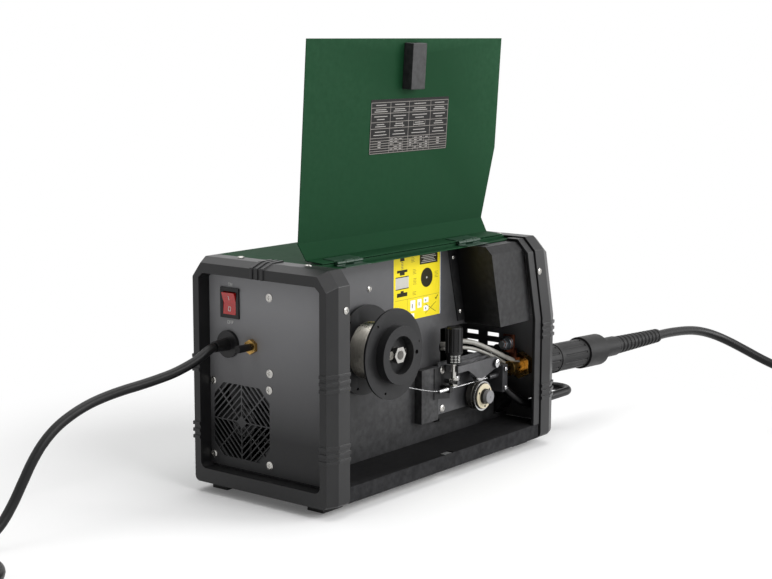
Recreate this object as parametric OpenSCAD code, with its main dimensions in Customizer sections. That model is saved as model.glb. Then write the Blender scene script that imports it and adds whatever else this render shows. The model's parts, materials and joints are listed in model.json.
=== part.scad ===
// Portable wire-feed welding machine, as an assembly of separate pieces.
// Millimetres. +Z is up, +X is the front, where the torch plugs in, and -Y is the side of the wire door.
// The origin is on the floor, in the middle of the footprint.
// The door is drawn open, as the machine stands at rest.

/* [Overall] */
// Length over the two bumper frames
body_l = 428; // [400:1:470]
// Width over the side panels
body_w = 200; // [196:1:220]
// Height of the top panel above the floor
body_h = 260; // [254:1:290]
// Height of the rubber feet
foot_h = 11.5; // [8:0.5:16]
// Thickness of the painted sheet metal
sheet = 1.2; // [0.8:0.1:1.6]
// Sideways size of the chamfer along both top edges
chamfer_y = 12.3; // [8:0.1:16]
// Height of the chamfer along both top edges
chamfer_z = 15.9; // [10:0.1:20]
// Gap between pieces that lie face to face
gap = 0.3; // [0.2:0.05:0.5]

/* [Bumper frames] */
// Depth of a bumper frame along the machine
bumper_d = 32.2; // [28:0.1:38]
// Depth of the bevel at a bumper's outer edge
bevel_x = 13.7; // [8:0.1:18]
// Inward size of that bevel
bevel_in = 5.4; // [3:0.1:7]
// Width of a bumper's face at the posts, measured from the side panel
post_w = 14.4; // [12:0.1:18]
// Width of the bumper's top bar
bar_top = 16.5; // [13:0.1:20]
// Height of the bumper's bottom bar
bar_low = 16; // [14:0.1:18]
// Height at which the front starts to lean back
kink_z = 160; // [150:1:175]
// How far the front leans back at the top
lean = 23.2; // [15:0.1:28]
// Depth of the end panels behind the bumper faces
recess = 16; // [13:0.5:20]
// How far the grip ribs stand proud
rib_h = 1.3; // [0.5:0.1:1.5]
// Width of one grip rib
rib_w = 3.8; // [2.5:0.1:4.5]
// Height of the middle of the upper rib groups
rib_high = 144; // [120:1:150]
// Height of the middle of the lower rib groups
rib_low = 69; // [50:1:90]

/* [Wire compartment] */
// Distance of the divider wall from the middle plane, towards the door
wall_y = 40; // [36:0.5:44]
// Angle between the closed door and its open stop
door_open = 176.5; // [150:0.5:177]
// Gap between the shut door and a bumper
door_play = 5; // [1:0.5:6]
// Width of a hinge leaf
leaf_w = 42; // [30:1:50]
// Place of the rear hinge along the machine
hinge_rear_x = -136.5; // [-150:0.5:-110]
// Place of the front hinge along the machine
hinge_front_x = 81; // [60:0.5:110]
// Radius of a hinge knuckle
knuckle_r = 2; // [1.6:0.1:2.4]
// Radius of a hinge pin
hinge_pin_r = 1; // [0.7:0.1:1.2]
// Width of the latch housing
latch_w = 25; // [20:0.5:30]
// Height of the latch housing
latch_h = 51; // [44:1:60]
// Depth of the latch housing
latch_d = 13; // [11:0.5:14]
// Travel of the latch slide
latch_travel = 7; // [5:0.5:8]

/* [Wire spool] */
// Outer radius of the spool's flanges
spool_r = 50; // [46:0.5:52]
// Width over the spool's flanges
spool_w = 41; // [38:0.5:42]
// Radius of the spool's bore
spool_bore = 8; // [7:0.1:9]
// Radial clearance of the parts that turn
run_gap = 0.05; // [0.02:0.01:0.1]
// Place of the spool's axis along the machine
spool_x = -88.8; // [-100:0.1:-80]
// Height of the spool's axis
spool_z = 156; // [150:0.5:160]
// Radius of the wire that is left on the spool
wound_r = 32; // [28:0.5:38]
// Number of turns in the outer layer of wire
wound_turns = 20; // [12:1:22]

/* [Wire feeder] */
// Radius of the drive roll
drive_r = 17.5; // [15:0.1:18]
// Place of the drive roll's axis along the machine
drive_x = 106; // [102:0.5:110]
// Height of the drive roll's axis
drive_z = 73; // [71:0.5:75]
// Distance of the wire from the middle plane
feed_y = 62; // [61:0.5:64]
// Radius of the idler roll
idler_r = 11.4; // [10.5:0.1:12]
// Radius of the tension knob
knob_r = 10.2; // [8.5:0.1:10.4]
// Length of the tension knob
knob_l = 43; // [36:1:48]
// Diameter of the welding wire
wire_d = 0.8; // [0.6:0.1:1]

/* [Fan and rear panel] */
// Side of the fan's square frame
fan_size = 92; // [88:1:92]
// Thickness of the fan
fan_t = 25; // [20:1:32]
// Spacing of the fan's screws
fan_pitch = 82.5; // [80:0.5:82.5]
// Height of the fan's axis
fan_z = 82; // [80:0.5:86]
// Width of a slot in the fan grille
slot_w = 3.9; // [3:0.1:4.4]
// Number of slot rings in the fan grille
slot_rings = 8; // [6:1:8]
// Distance of the mains switch from the middle plane
switch_y = 53.5; // [50:0.5:60]
// Height of the mains switch
switch_z = 211.7; // [208:0.1:215]

/* [Leads] */
// Diameter of the mains cord
mains_d = 10.4; // [8:0.1:11]
// Turns in the coil of mains cord
mains_turns = 5.25; // [5.25:1:6.25]
// Diameter of the torch hose
hose_d = 12.7; // [11:0.1:13]
// Turns in the coil of torch hose
hose_turns = 4.25; // [4.25:1:5.25]
// Gap between the turns of a coil
turn_gap = 0.9; // [0.6:0.1:1.2]
// Diameter of the polarity lead
polarity_d = 10.5; // [9:0.1:11]
// Distance of the torch connector from the middle plane
torch_y = 64; // [62:0.5:65]
// Height of the torch connector at the front panel
torch_z = 96.6; // [95:0.1:98]
// How far the torch connector hangs down, in degrees
torch_tilt = 2.6; // [0:0.1:2.8]
// Radius of the torch connector's grip
grip_r = 18; // [16:0.1:19]
// Length of the torch connector's grip
grip_l = 122; // [110:1:126]

/* [Hidden] */
$fn = 48;
half_l = body_l / 2;
half_w = body_w / 2;
in_x = half_l - bumper_d;
panel_x = half_l - recess;
ring_y = half_w - post_w;
ring_top = body_h - bar_top;
ring_low = foot_h + bar_low;
lean_rate = lean / (body_h - kink_z);
lean_deg = atan(lean_rate);
tray_top = ring_low + gap + 1.5;
flange_y = half_w - 3;
panel_t = 1.5;
inner_y = ring_y - gap;
side_low = foot_h + 13.5;
flat_y = half_w - chamfer_y;
wall_t = 1.5;
hinge_y = 61.4;
hinge_z = body_h + gap;
strip_z = body_h - 3.2;
leaf_t = 0.7;
fan_y = inner_y - gap - fan_size / 2 + 0.2;
gas_y = 21.8;
gas_z = 167.7;
cord_y = 56;
cord_z = 166.6;
reach_x = panel_x + 34;
nose_x = panel_x + 24;
bar_x = panel_x - 41;
bolt_y = -torch_y - 2.5;
bolt_z = 129.7;
gas_reach = panel_x + 24;
pivot_x = 128;
pivot_z = 109.5;
pin_r = 3;
idler_x = drive_x - 2.5;
idler_z = drive_z + drive_r + 1.4 + idler_r;
wire_z = drive_z + drive_r + wire_d / 2 + 0.3;
arm_z = idler_z + 6.2;
arm_t = 8;
plate_y = feed_y - 11.7;
swing_x = 53;
swing_z = 98;
tab_z = arm_z + arm_t + 3;
lead_z = 50;
plug_y = 34;
back_y = 76;
free_y = -24;
socket_r = 4.55;
nose_r = 8;
knob_z = 188;
knob_y = 44;

// Solid drawn in (y, z) and carried along the machine from x0 to x1.
module along_x(x0, x1) translate([x0, 0, 0]) rotate([90, 0, 90]) linear_extrude(x1 - x0) children();
// Solid drawn in (x, z) and carried across the machine from y0 to y1.
module along_y(y0, y1) translate([0, y1, 0]) rotate([90, 0, 0]) linear_extrude(y1 - y0) children();
// Block between two corners.
module block(a, b) translate(a) cube(b - a);
// Rod between x0 and x1, y0 and y1, or z0 and z1, at the other two coordinates.
module rod_x(x0, x1, y, z, r) translate([x0, y, z]) rotate([0, 90, 0]) cylinder(h = x1 - x0, r = r);
module rod_y(x, y0, y1, z, r) translate([x, y1, z]) rotate([90, 0, 0]) cylinder(h = y1 - y0, r = r);
module rod_z(x, y, z0, z1, r) translate([x, y, z0]) cylinder(h = z1 - z0, r = r);

function unit(v) = v / norm(v);
function arc(c, r, a0, a1, n) = [for (k = [0:n]) let (a = a0 + (a1 - a0) * k / n)
    c + r * [cos(a), sin(a)]];
function lean_at(z) = max(0, z - kink_z) * lean_rate;

// Skin through cross-sections that have the same number of points, closed by a fan at each end.
module loft(sections) {
    n = len(sections[0]);
    m = len(sections);
    sides = [for (k = [0:m - 2]) for (i = [0:n - 1])
        let (a = k * n + i, b = k * n + (i + 1) % n) each [[a, a + n, b + n], [a, b + n, b]]];
    first = [for (i = [1:n - 2]) [0, i, i + 1]];
    last = [for (i = [1:n - 2]) [(m - 1) * n, (m - 1) * n + i + 1, (m - 1) * n + i]];
    polyhedron([for (s = sections) each s], concat(first, sides, last), convexity = 6);
}

// Rings of a round tube along a path; side is a direction that the path never takes.
function tube_rings(path, r, n, side) = let (m = len(path)) [for (i = [0:m - 1])
    let (t = unit(path[min(m - 1, i + 1)] - path[max(0, i - 1)]), u = unit(cross(t, side)),
        v = cross(t, u))
        [for (k = [0:n - 1]) path[i] + r * (cos(360 * k / n) * u + sin(360 * k / n) * v)]];
module tube(path, r, n = 8, side = [0, 0, 1]) loft(tube_rings(path, r, n, side));

// Least gap between a tube's own turns: the least distance of points at least half a turn apart.
function least_gap(path, d, far) = min([for (i = [0:len(path) - 1 - far]) for (j = [i + far:len(path) - 1])
    norm(path[i] - path[j])]) - d;

// Half-outline of a bumper below its kink and above it, set in by e; x is a function of the height.
function low_half(x, e) = let (w = half_w - e, b = foot_h, r = 6) [for (p = concat(
    arc([-w + r, b + r], r, 180, 270, 3), arc([w - r, b + r], r, 270, 360, 3),
        [[w, kink_z], [-w, kink_z]]))
    [x, p.x, p.y]];
function top_half(x, e, by) = let (w = half_w - e, t = body_h - e) [for (p = [[-w, kink_z], [w, kink_z],
    [w, t - chamfer_z], [w - chamfer_y, t], [-w + chamfer_y, t], [-w, t - chamfer_z]])
    [x - by * (p.y - kink_z), p.x, p.y]];
// Closed solid of a bumper through steps of [x, set-in], leaning back by by per millimetre of height.
module hood(steps, by) {
    loft([for (s = steps) low_half(s.x, s.y)]);
    loft([for (s = steps) top_half(s.x, s.y, by)]);
}
function bumper_steps(grow) = [[in_x, -grow], [half_l - bevel_x, -grow], [half_l + grow, bevel_in - grow]];
module ring_hole(x0, x1) along_x(x0, x1) polygon(concat(
    arc([-ring_y + 7, ring_low + 7], 7, 180, 270, 4), arc([ring_y - 7, ring_low + 7], 7, 270, 360, 4),
    [[ring_y, ring_top - 5], [ring_y - 6, ring_top], [-ring_y + 6, ring_top], [-ring_y, ring_top - 5]]));
// Outline that fits the opening of a bumper from the floor of the tray up.
module fit_hole(x0, x1, z0, z1) intersection() {
    along_x(x0, x1) polygon([[-inner_y, z0], [inner_y, z0], [inner_y, ring_top - 5 - gap],
        [inner_y - 6, ring_top - gap], [-inner_y + 6, ring_top - gap], [-inner_y, ring_top - 5 - gap]]);
    block([x0, -half_w, z0], [x1, half_w, z1]);
}
module bumper(by) {
    difference() {
        union() {
            hood(bumper_steps(0), by);
            intersection() {
                hood(bumper_steps(rib_h), by);
                union() {
                    for (z = [rib_high, rib_low], k = [-1:1])
                        block([in_x - lean, -body_w, z + 2 * k * rib_w - rib_w / 2],
                            [body_l, body_w, z + 2 * k * rib_w + rib_w / 2]);
                    for (k = [-1:1])
                        block([in_x - lean, 2 * k * rib_w - rib_w / 2, ring_top],
                            [body_l, 2 * k * rib_w + rib_w / 2, body_h + rib_h]);
                }
            }
        }
        ring_hole(in_x - 2 * lean, body_l);
    }
}
module rear_frame() color([0.13, 0.13, 0.14]) mirror([1, 0, 0]) bumper(0);
module front_frame() color([0.13, 0.13, 0.14]) {
    bumper(lean_rate);
    // Lip behind the frame, on which the cover and the door lie, joined to it by a collar.
    intersection() {
        difference() {
            union() {
                hood([[in_x - 13.5, sheet + gap], [in_x - 1.6, sheet + gap]], lean_rate);
                hood([[in_x - 11, sheet + 2], [in_x + 3, sheet + 2]], lean_rate);
            }
            hood([[in_x - 30, sheet + 3.6], [in_x + 30, sheet + 3.6]], lean_rate);
        }
        difference() {
            block([0, -half_w, tray_top + gap], [body_l, half_w, body_h]);
            // Way for the strip of the cover.
            block([0, -hinge_y - 8.6 - 2 * gap, strip_z - sheet - gap],
                [in_x - lean_at(strip_z), -hinge_y + 4.4 + 2 * gap, body_h]);
        }
    }
}

module base_tray() color([0.33, 0.34, 0.35]) difference() {
    union() {
        block([-in_x + gap, -flange_y, tray_top - 1.5], [in_x - gap, flange_y, tray_top]);
        block([-panel_x, -inner_y + 7, tray_top - 1.5], [panel_x, inner_y - 7, tray_top]);
        for (s = [0, 1]) mirror([0, s, 0])
            block([-in_x + gap, -flange_y, foot_h + 0.5], [in_x - gap, -flange_y + 1.5, tray_top]);
    }
    // Slot that takes the latch when the door is shut.
    block([-8, -half_w + 3 + 1.5, foot_h], [8, -half_w + 14, tray_top + 1]);
}
// The feet on the door side stand further in than those on the plain side.
module rubber_feet() color([0.08, 0.08, 0.08]) for (sx = [0, 1], side = [0, 1])
    mirror([sx, 0, 0]) mirror([0, side, 0]) {
        y = half_w - (side == 1 ? 49 : 34);
        difference() {
            block([in_x - 20, y, 0], [in_x + 12, y + 22, foot_h]);
            rod_z(in_x - 4, y + 11, -1, 4, 4);
        }
        block([in_x - 18, y + 2, foot_h], [in_x - 2 * gap, y + 20, tray_top - 1.5 - gap]);
    }

// Fan grille: in each quarter, slots lie across the diagonal, ring after ring, on both sides of a rib
// along it.
module grille_slots() {
    step = fan_size / 2 / (slot_rings + 0.4);
    reach = fan_size / 2 - 5;
    for (q = [45:90:315], k = [1:slot_rings]) rotate(q) intersection() {
        translate([k * step, -fan_size]) square([slot_w, 2 * fan_size]);
        rotate(-45) translate([0.7, 0.7]) square(reach - 0.7);
        for (s = [0, 1]) mirror([0, s]) translate([0, 0.7]) square(fan_size);
    }
}
module rear_panel() color([0.24, 0.24, 0.26]) difference() {
    fit_hole(-panel_x, -panel_x + panel_t, tray_top + gap, body_h);
    along_x(-panel_x - 1, -panel_x + panel_t + 1) union() {
        translate([fan_y, fan_z]) grille_slots();
        translate([switch_y, switch_z]) square([22.6, 28.6], center = true);
    }
    rod_x(-panel_x - 1, -panel_x + 3, cord_y, cord_z, 12.2);
    rod_x(-panel_x - 1, -panel_x + 3, gas_y, gas_z, 5.2);
}
module front_panel() color([0.2, 0.2, 0.22]) difference() {
    fit_hole(panel_x - panel_t, panel_x, tray_top + gap, kink_z - gap);
    for (k = [-1:1], z = [104, 116.5, 128.5])
        block([panel_x - 3, 31 * k + 4.5, z - 2.4], [panel_x + 1, 31 * k + 21.5, z + 2.4]);
    rod_x(panel_x - 3, panel_x + 1, -torch_y, torch_z, 9.2);
    for (y = [-plug_y, -free_y]) rod_x(panel_x - 3, panel_x + 1, y, lead_z, 13.2);
    rod_x(panel_x - 3, panel_x + 1, -back_y, lead_z, polarity_d / 2 + 0.6);
}
module control_panel() color([0.16, 0.16, 0.17]) difference() {
    intersection() {
        fit_hole(panel_x - lean - 5, panel_x + 1, kink_z, body_h);
        along_y(-half_w, half_w) polygon([[panel_x, kink_z], [panel_x - lean, body_h],
            [panel_x - lean - 2, body_h], [panel_x - 2, kink_z]]);
    }
    for (y = [-knob_y, knob_y]) on_slope(y) translate([0, 0, -5]) cylinder(h = 8, r = 3.4);
}
// Place on the sloping control panel, with +Z square to it.
module on_slope(y) translate([panel_x - lean_at(knob_z), y, knob_z]) rotate([0, 90 - lean_deg, 0])
    children();
module control_knob(y) on_slope(y) difference() {
    union() {
        translate([0, 0, 0.4]) cylinder(h = 4, r = 15);
        translate([0, 0, 4.4]) cylinder(h = 9, r1 = 12.5, r2 = 11, $fn = 64);
        translate([0, 0, -4]) cylinder(h = 5, r = 3.3);
    }
    translate([-9, -0.8, 12.6]) cube([8, 1.6, 2]);
}
module voltage_knob() color([0.1, 0.1, 0.1]) control_knob(-knob_y);
module speed_knob() color([0.1, 0.1, 0.1]) control_knob(knob_y);

module divider_wall() color([0.3, 0.31, 0.32]) difference() {
    end_x = panel_x - panel_t - gap;
    top = body_h - sheet - gap;
    along_y(-wall_y, -wall_y + wall_t) polygon([[-end_x, tray_top + gap], [end_x, tray_top + gap],
        [end_x, 107],
        [56, 107], [56, kink_z - 2], [150, kink_z - 2], [128, top], [-in_x + 1, top],
            [-in_x + 1, ring_top - 1],
        [-end_x, ring_top - 1]]);
    block([44, -wall_y - 1, 48], [128, -wall_y + 3, 96]);
    block([panel_x - 30, -wall_y - 1, lead_z - 15], [panel_x, -wall_y + 3, lead_z + 15]);
    rod_y(spool_x, -wall_y - 1, -wall_y + 3, spool_z, 6);
    // Hole for the control cables of the torch.
    rod_y(61, -wall_y - 1, -wall_y + 3, 136, 7.5);
}
// Box of the control electronics: rear, side and bottom, behind the sloping panel.
module control_box() color([0.09, 0.09, 0.1]) {
    back = 104;
    top = strip_z - sheet - gap;
    low = kink_z - 1;
    side_y = half_w - 8;
    front = in_x - 14.5;
    difference() {
        intersection() {
            along_y(-side_y, -wall_y - gap) polygon([[back, low], [front, low], [front, kink_z],
                [front - lean_at(top), top], [back - lean_at(top), top]]);
            // Corner cut off where the shut door has its chamfer.
            along_x(0, body_l) polygon([[0, 0], [-side_y, 0], [-side_y, top - 9], [-side_y + 7.5, top],
                [0, top]]);
        }
        intersection() {
            along_y(-side_y + 1.5, wall_y) polygon([[back + 1.5, low + 1.5], [front + 5, low + 1.5],
                [front + 5 - lean_at(top), top + 1], [back + 1.5 - lean_at(top), top + 1]]);
            along_x(0, body_l) polygon([[body_w, 0], [-side_y + 1.5, 0], [-side_y + 1.5, top - 9.7],
                [-side_y + 8.1, top - 1.5], [body_w, top - 1.5]]);
        }
    }
    // Flange along the wall.
    along_y(-wall_y - gap - 1.2, -wall_y - gap) polygon([[back - 15, low + 4], [back + 1, low + 4],
        [back + 1 - lean_at(top - 4), top - 4], [back - 15 - lean_at(top - 4), top - 4]]);
}

// Sheet of the cover or the door, drawn in (y, z) for y above zero; its top ends at y0 in the given edge.
module wrap(y0, edge) {
    top_in = sheet * tan(atan(chamfer_z / chamfer_y) / 2);
    side_in = sheet * tan((90 - atan(chamfer_z / chamfer_y)) / 2);
    polygon(concat([[half_w, side_low], [half_w, body_h - chamfer_z], [flat_y, body_h], [y0, body_h]],
        edge,
        [[flat_y - top_in, body_h - sheet], [half_w - sheet, body_h - chamfer_z - side_in],
            [half_w - sheet, side_low]]));
}
// Side view that a cover or a door fills between the bumpers.
module between_bumpers(play) along_y(-body_w, body_w) polygon([[-in_x + play, 0], [in_x - play, 0],
    [in_x - play, kink_z], [in_x - play - lean_at(body_h + 5), body_h + 5], [-in_x + play, body_h + 5]]);
module outer_cover() color([0.08, 0.25, 0.16]) intersection() {
    edge_y = -hinge_y + 4.4;
    // The edge steps down to a strip that carries the hinges and backs the shut door.
    along_x(-in_x, in_x) wrap(edge_y - sheet, [[edge_y - sheet, strip_z], [-hinge_y - 8.6, strip_z],
        [-hinge_y - 8.6, strip_z - sheet], [edge_y, strip_z - sheet], [edge_y, body_h - sheet]]);
    between_bumpers(gap);
}
// Turns a piece that is drawn on the shut door to the open door.
module opened() translate([0, -hinge_y, hinge_z]) rotate([-door_open, 0, 0])
    translate([0, hinge_y, -hinge_z])
    children();
module wire_door() color([0.09, 0.27, 0.17]) opened() difference() {
    intersection() {
        mirror([0, 1, 0]) along_x(-in_x, in_x) wrap(hinge_y + 2.8, [[hinge_y + 2.8, body_h - sheet]]);
        between_bumpers(door_play);
    }
    block([-6.5, -half_w - 1, side_low + 24.5], [6.5, -half_w + 2, side_low + 49]);
    block([-body_l, -body_w, 0], [body_l, 0, side_low + 4.5]);
}
latch_low = side_low + 9;
module latch_housing() color([0.1, 0.1, 0.1]) opened() difference() {
    block([-latch_w / 2, -half_w + sheet, latch_low],
        [latch_w / 2, -half_w + sheet + latch_d, latch_low + latch_h]);
    block([-6.4, -half_w, latch_low - 1], [6.4, -half_w + 8.6, latch_low + latch_h - 4]);
}
module latch_slide() color([0.15, 0.15, 0.15]) opened() {
    block([-6, -half_w + sheet + gap, latch_low + 7.6], [6, -half_w + 8.2, latch_low + latch_h - 5]);
    // Hook that goes behind the tray's flange.
    block([-6, -half_w + 5, latch_low + 0.5], [6, -half_w + 8.2, latch_low + 8]);
    block([-5.8, -half_w - 2.2, side_low + 34], [5.8, -half_w + sheet + gap, side_low + 48]);
}
hinge_xs = [hinge_rear_x, hinge_front_x];
module hinge_leaves() color([0.5, 0.5, 0.52]) for (x = hinge_xs) {
    low = strip_z + 0.1;
    block([x - leaf_w / 2, -hinge_y - 13.6, low], [x + leaf_w / 2, -hinge_y + 1.8, low + leaf_t]);
    for (s = [-1, 1]) {
        mid = x + s * leaf_w / 3;
        rod_x(mid - leaf_w / 6, mid + leaf_w / 6, -hinge_y, hinge_z, knuckle_r);
        block([mid - leaf_w / 6, -hinge_y - 1, low], [mid + leaf_w / 6, -hinge_y + 1, hinge_z]);
    }
    rod_x(x - leaf_w / 2, x + leaf_w / 2, -hinge_y, hinge_z, hinge_pin_r);
}
module door_leaves() color([0.5, 0.5, 0.52]) opened() for (x = hinge_xs) difference() {
    union() {
        block([x - leaf_w / 2, -hinge_y - 18.6, body_h - sheet - 0.8],
            [x + leaf_w / 2, -hinge_y - 3.1, body_h - sheet]);
        rod_x(x - leaf_w / 6 + gap, x + leaf_w / 6 - gap, -hinge_y, hinge_z, knuckle_r);
        block([x - leaf_w / 6 + gap, -hinge_y - 3.2, body_h - sheet - 0.8],
            [x + leaf_w / 6 - gap, -hinge_y - 0.5, body_h - sheet]);
        block([x - leaf_w / 6 + gap, -hinge_y - 2.6, body_h - sheet - 0.8],
            [x + leaf_w / 6 - gap, -hinge_y - 0.5, hinge_z - 0.5]);
    }
    rod_x(x - leaf_w, x + leaf_w, -hinge_y, hinge_z, hinge_pin_r + run_gap);
}
module carry_handle() color([0.12, 0.12, 0.13]) {
    front_y = -hinge_y + (half_w - hinge_y) - 0.8;
    difference() {
        along_y(front_y, front_y + 28) polygon([[-88, body_h + 0.1], [-84, body_h + 36],
            [-74, body_h + 48],
            [-60, body_h + 52], [60, body_h + 52], [74, body_h + 48], [84, body_h + 36],
                [88, body_h + 0.1]]);
        along_y(front_y - 1, front_y + 29) polygon([[-68, body_h], [-66, body_h + 24], [-58, body_h + 31],
            [58, body_h + 31], [66, body_h + 24], [68, body_h]]);
    }
}

// Domed screw head whose flat side lies on a face.
module head(at, turn, r = 3.8) translate(at) rotate(turn) difference() {
    union() {
        cylinder(h = 0.7, r = r);
        translate([0, 0, 0.7]) cylinder(h = 0.8, r1 = r * 0.96, r2 = r * 0.66);
    }
    translate([0, 0, 1.3]) for (a = [0, 90]) rotate(a) cube([r, 0.9, 1.2], center = true);
}
module screws() color([0.62, 0.62, 0.64]) {
    for (s = [-1, 1]) {
        turn = [s * -90, 0, 0];
        head([-in_x - 6.7, s * half_w, body_h - 41.4], turn);
        head([in_x + 4.4 - lean_at(body_h - 42), s * half_w, body_h - 42], turn);
        head([-in_x - 5.2, s * 48, body_h], [0, 0, 0]);
        head([in_x + 4 - lean, s * 48, body_h], [0, 0, 0]);
    }
    for (z = [222.9, 141.4]) head([-panel_x, -3, z], [0, -90, 0], 4.6);
    for (y = [-1, 1], z = [-1, 1])
        head([-panel_x, fan_y + y * fan_pitch / 2, fan_z + z * fan_pitch / 2], [0, -90, 0], 4.4);
    head([-76.4, -wall_y, 221.3], [90, 0, 0], 3.4);
    for (z = [body_h - 19.6, 174.3]) head([96.5 - lean_at(z), -wall_y - gap - 1.2, z], [90, 0, 0], 2.9);
    for (x = [46, 46.5]) head([x, -plate_y, x == 46 ? 112 : 66], [90, 0, 0], 4.4);
}

module switch_body() color([0.07, 0.07, 0.07]) difference() {
    union() {
        along_x(-panel_x - 2, -panel_x) translate([switch_y, switch_z]) square([27, 33], center = true);
        along_x(-panel_x, -panel_x + 22) translate([switch_y, switch_z]) square([22, 28], center = true);
    }
    block([-panel_x - 3, switch_y - 9.5, switch_z - 12.6], [-panel_x + 9, switch_y + 9.5,
        switch_z + 12.6]);
    rod_y(-panel_x + 1, switch_y - 10.7, switch_y + 10.7, switch_z, 1.6 + run_gap);
}
module switch_rocker() color([0.75, 0.06, 0.05]) {
    translate([-panel_x + 1, switch_y, switch_z]) rotate([0, -7, 0]) along_y(-9.2, 9.2)
        polygon([[-4.4, -12], [-2.2, 0], [-4.4, 12], [0, 12], [5, 7], [5, -7], [0, -12]]);
    rod_y(-panel_x + 1, switch_y - 10.5, switch_y + 10.5, switch_z, 1.6);
}

module mains_gland() color([0.06, 0.06, 0.06]) translate([-panel_x, cord_y, cord_z]) rotate([0, -90, 0]) {
    relief = -mains_route[0].x - panel_x - 1.1;
    difference() {
        union() {
            cylinder(h = 4, r = 15);
            translate([0, 0, -9]) cylinder(h = 9, r = 12);
            cylinder(h = relief, r1 = 7.4, r2 = mains_d / 2 + 1);
        }
        translate([0, 0, -10]) cylinder(h = relief + 20, r = mains_d / 2);
    }
    translate([0, 0, -14]) cylinder(h = relief + 14, r = mains_d / 2);
}

// A round coil in two layers: it winds in on the floor, climbs where it turns back, and winds out on top.
function coil_path(c, start, way, turns, d, mid, steps = 24) = let (
        p = d + turn_gap, r0 = mid + turns * p / 4, n = round(turns * steps))
    [for (i = [0:n]) let (t = i / steps, back = min(t, turns - t), r = r0 - p * back,
        s = min(1, max(0, 2 * (t - turns / 2) + 0.5)), a = start + way * 360 * t)
        [c.x + r * cos(a), c.y + r * sin(a), d / 2 + p * s * s * (3 - 2 * s)]];
function coil_r(turns, d, mid) = mid + turns * (d + turn_gap) / 4;

mains_mid = 47;
mains_r = coil_r(mains_turns, mains_d, mains_mid);
mains_c = [-598, 98 - mains_r];
mains_wound = coil_path(mains_c, 90, 1, mains_turns, mains_d, mains_mid);
mains_end = mains_wound[len(mains_wound) - 1];
mains_lift = 19.4 - mains_end.z;
mains_loops = concat([[mains_c.x + mains_d, 98, mains_d / 2]], mains_wound,
    [for (k = [1:6]) let (s = k / 6) mains_end + [0, -9 * k, mains_lift * s * s * (3 - 2 * s)]],
    [mains_end + [0, -54 - mains_d, mains_lift]]);
// The mains cord leaves the gland, sags and comes down to the floor.
mains_route = [[-222, 56, 166], [-228, 56, 164.8], [-236, 56.5, 161], [-246, 58, 155.6], [-258, 61, 150.4],
    [-273, 66, 144.8], [-290, 72, 140.4], [-309, 77, 137], [-329, 82, 134], [-349, 86, 130.4],
        [-369, 89, 125.6],
    [-389, 91, 118.6], [-408, 93, 108.8], [-425, 94, 95.6], [-439, 95, 79], [-451, 96, 60], [-463, 97, 41],
    [-477, 97.5, 24.5], [-495, 98, 12.4], [-516, 98, 6], [-538, 98, mains_d / 2], [-562, 98, mains_d / 2],
    [-580, 98, mains_d / 2], [mains_c.x + mains_d, 98, mains_d / 2]];
module mains_cord() color([0.05, 0.05, 0.05]) tube(mains_route, mains_d / 2, 10);
module mains_coil() color([0.05, 0.05, 0.05]) tube(mains_loops, mains_d / 2, 6);
module mains_plug() color([0.05, 0.05, 0.05]) translate(mains_loops[len(mains_loops) - 1])
    rotate([90, 0, 0]) {
    cylinder(h = 26, r1 = mains_d / 2 + 1, r2 = 8);
    translate([0, 0, 26]) difference() {
        union() {
            cylinder(h = 10, r1 = 10, r2 = 18.6);
            translate([0, 0, 10]) cylinder(h = 24, r = 18.8);
        }
        translate([0, 14.5, 34]) cylinder(h = 20, r = 2.5, center = true);
    }
    color([0.8, 0.8, 0.82]) for (s = [-1, 1]) translate([s * 9.5, 0, 60]) cylinder(h = 19, r = 2.4);
}

module gas_inlet() color([0.78, 0.6, 0.25]) translate([-panel_x, gas_y, gas_z]) rotate([0, -90, 0])
    difference() {
        union() {
            cylinder(h = 5, r = 8.2, $fn = 6);
            translate([0, 0, -14]) cylinder(h = 14, r = 5);
            cylinder(h = gas_reach - panel_x - 8, r = 2.8);
        }
        translate([0, 0, -20]) cylinder(h = 60, r = 1.6);
    }
module gas_cap() color([0.05, 0.05, 0.05]) translate([-gas_reach, gas_y, gas_z]) rotate([0, 90, 0])
    difference() {
    cylinder(h = gas_reach - panel_x - 5.2, r = 4);
    translate([0, 0, 6]) cylinder(h = 60, r = 2.9);
}
module gas_valve() color([0.25, 0.25, 0.28]) {
    block([-panel_x + 14, gas_y - 13, gas_z - 14], [-panel_x + 36, gas_y + 13, gas_z + 14]);
    rod_z(-panel_x + 25, gas_y, gas_z + 14, gas_z + 40, 9);
}

module fan_frame() color([0.08, 0.08, 0.08]) translate([-panel_x + panel_t + 0.1, fan_y, fan_z])
    rotate([0, 90, 0]) {
        difference() {
            translate([0, 0, fan_t / 2]) cube([fan_size, fan_size, fan_t], center = true);
            translate([0, 0, -1]) cylinder(h = fan_t + 2, r = fan_size / 2 - 2.2, $fn = 64);
        }
        translate([0, 0, fan_t - 3]) {
            cylinder(h = 3, r = 18);
            for (a = [45:90:315]) rotate(a) translate([16, -2, 0]) cube([fan_size / 2 - 17, 4, 3]);
        }
        translate([0, 0, 4]) cylinder(h = fan_t - 3, r = 2);
    }
module fan_rotor() color([0.1, 0.1, 0.1]) translate([-panel_x + panel_t + 0.1, fan_y, fan_z])
    rotate([0, 90, 0])
    difference() {
        union() {
            translate([0, 0, 2]) cylinder(h = fan_t - 6, r = 17);
            intersection() {
                for (a = [0:360 / 7:359]) rotate(a) translate([15, 0, fan_t / 2 - 1]) rotate([42, 0, 0])
                    translate([0, -11, -0.9]) cube([fan_size / 2 - 17, 22, 1.8]);
                translate([0, 0, 2.5]) cylinder(h = fan_t - 7.5, r = fan_size / 2 - 4);
            }
        }
        translate([0, 0, -1]) cylinder(h = fan_t + 2, r = 2 + run_gap);
    }

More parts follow.
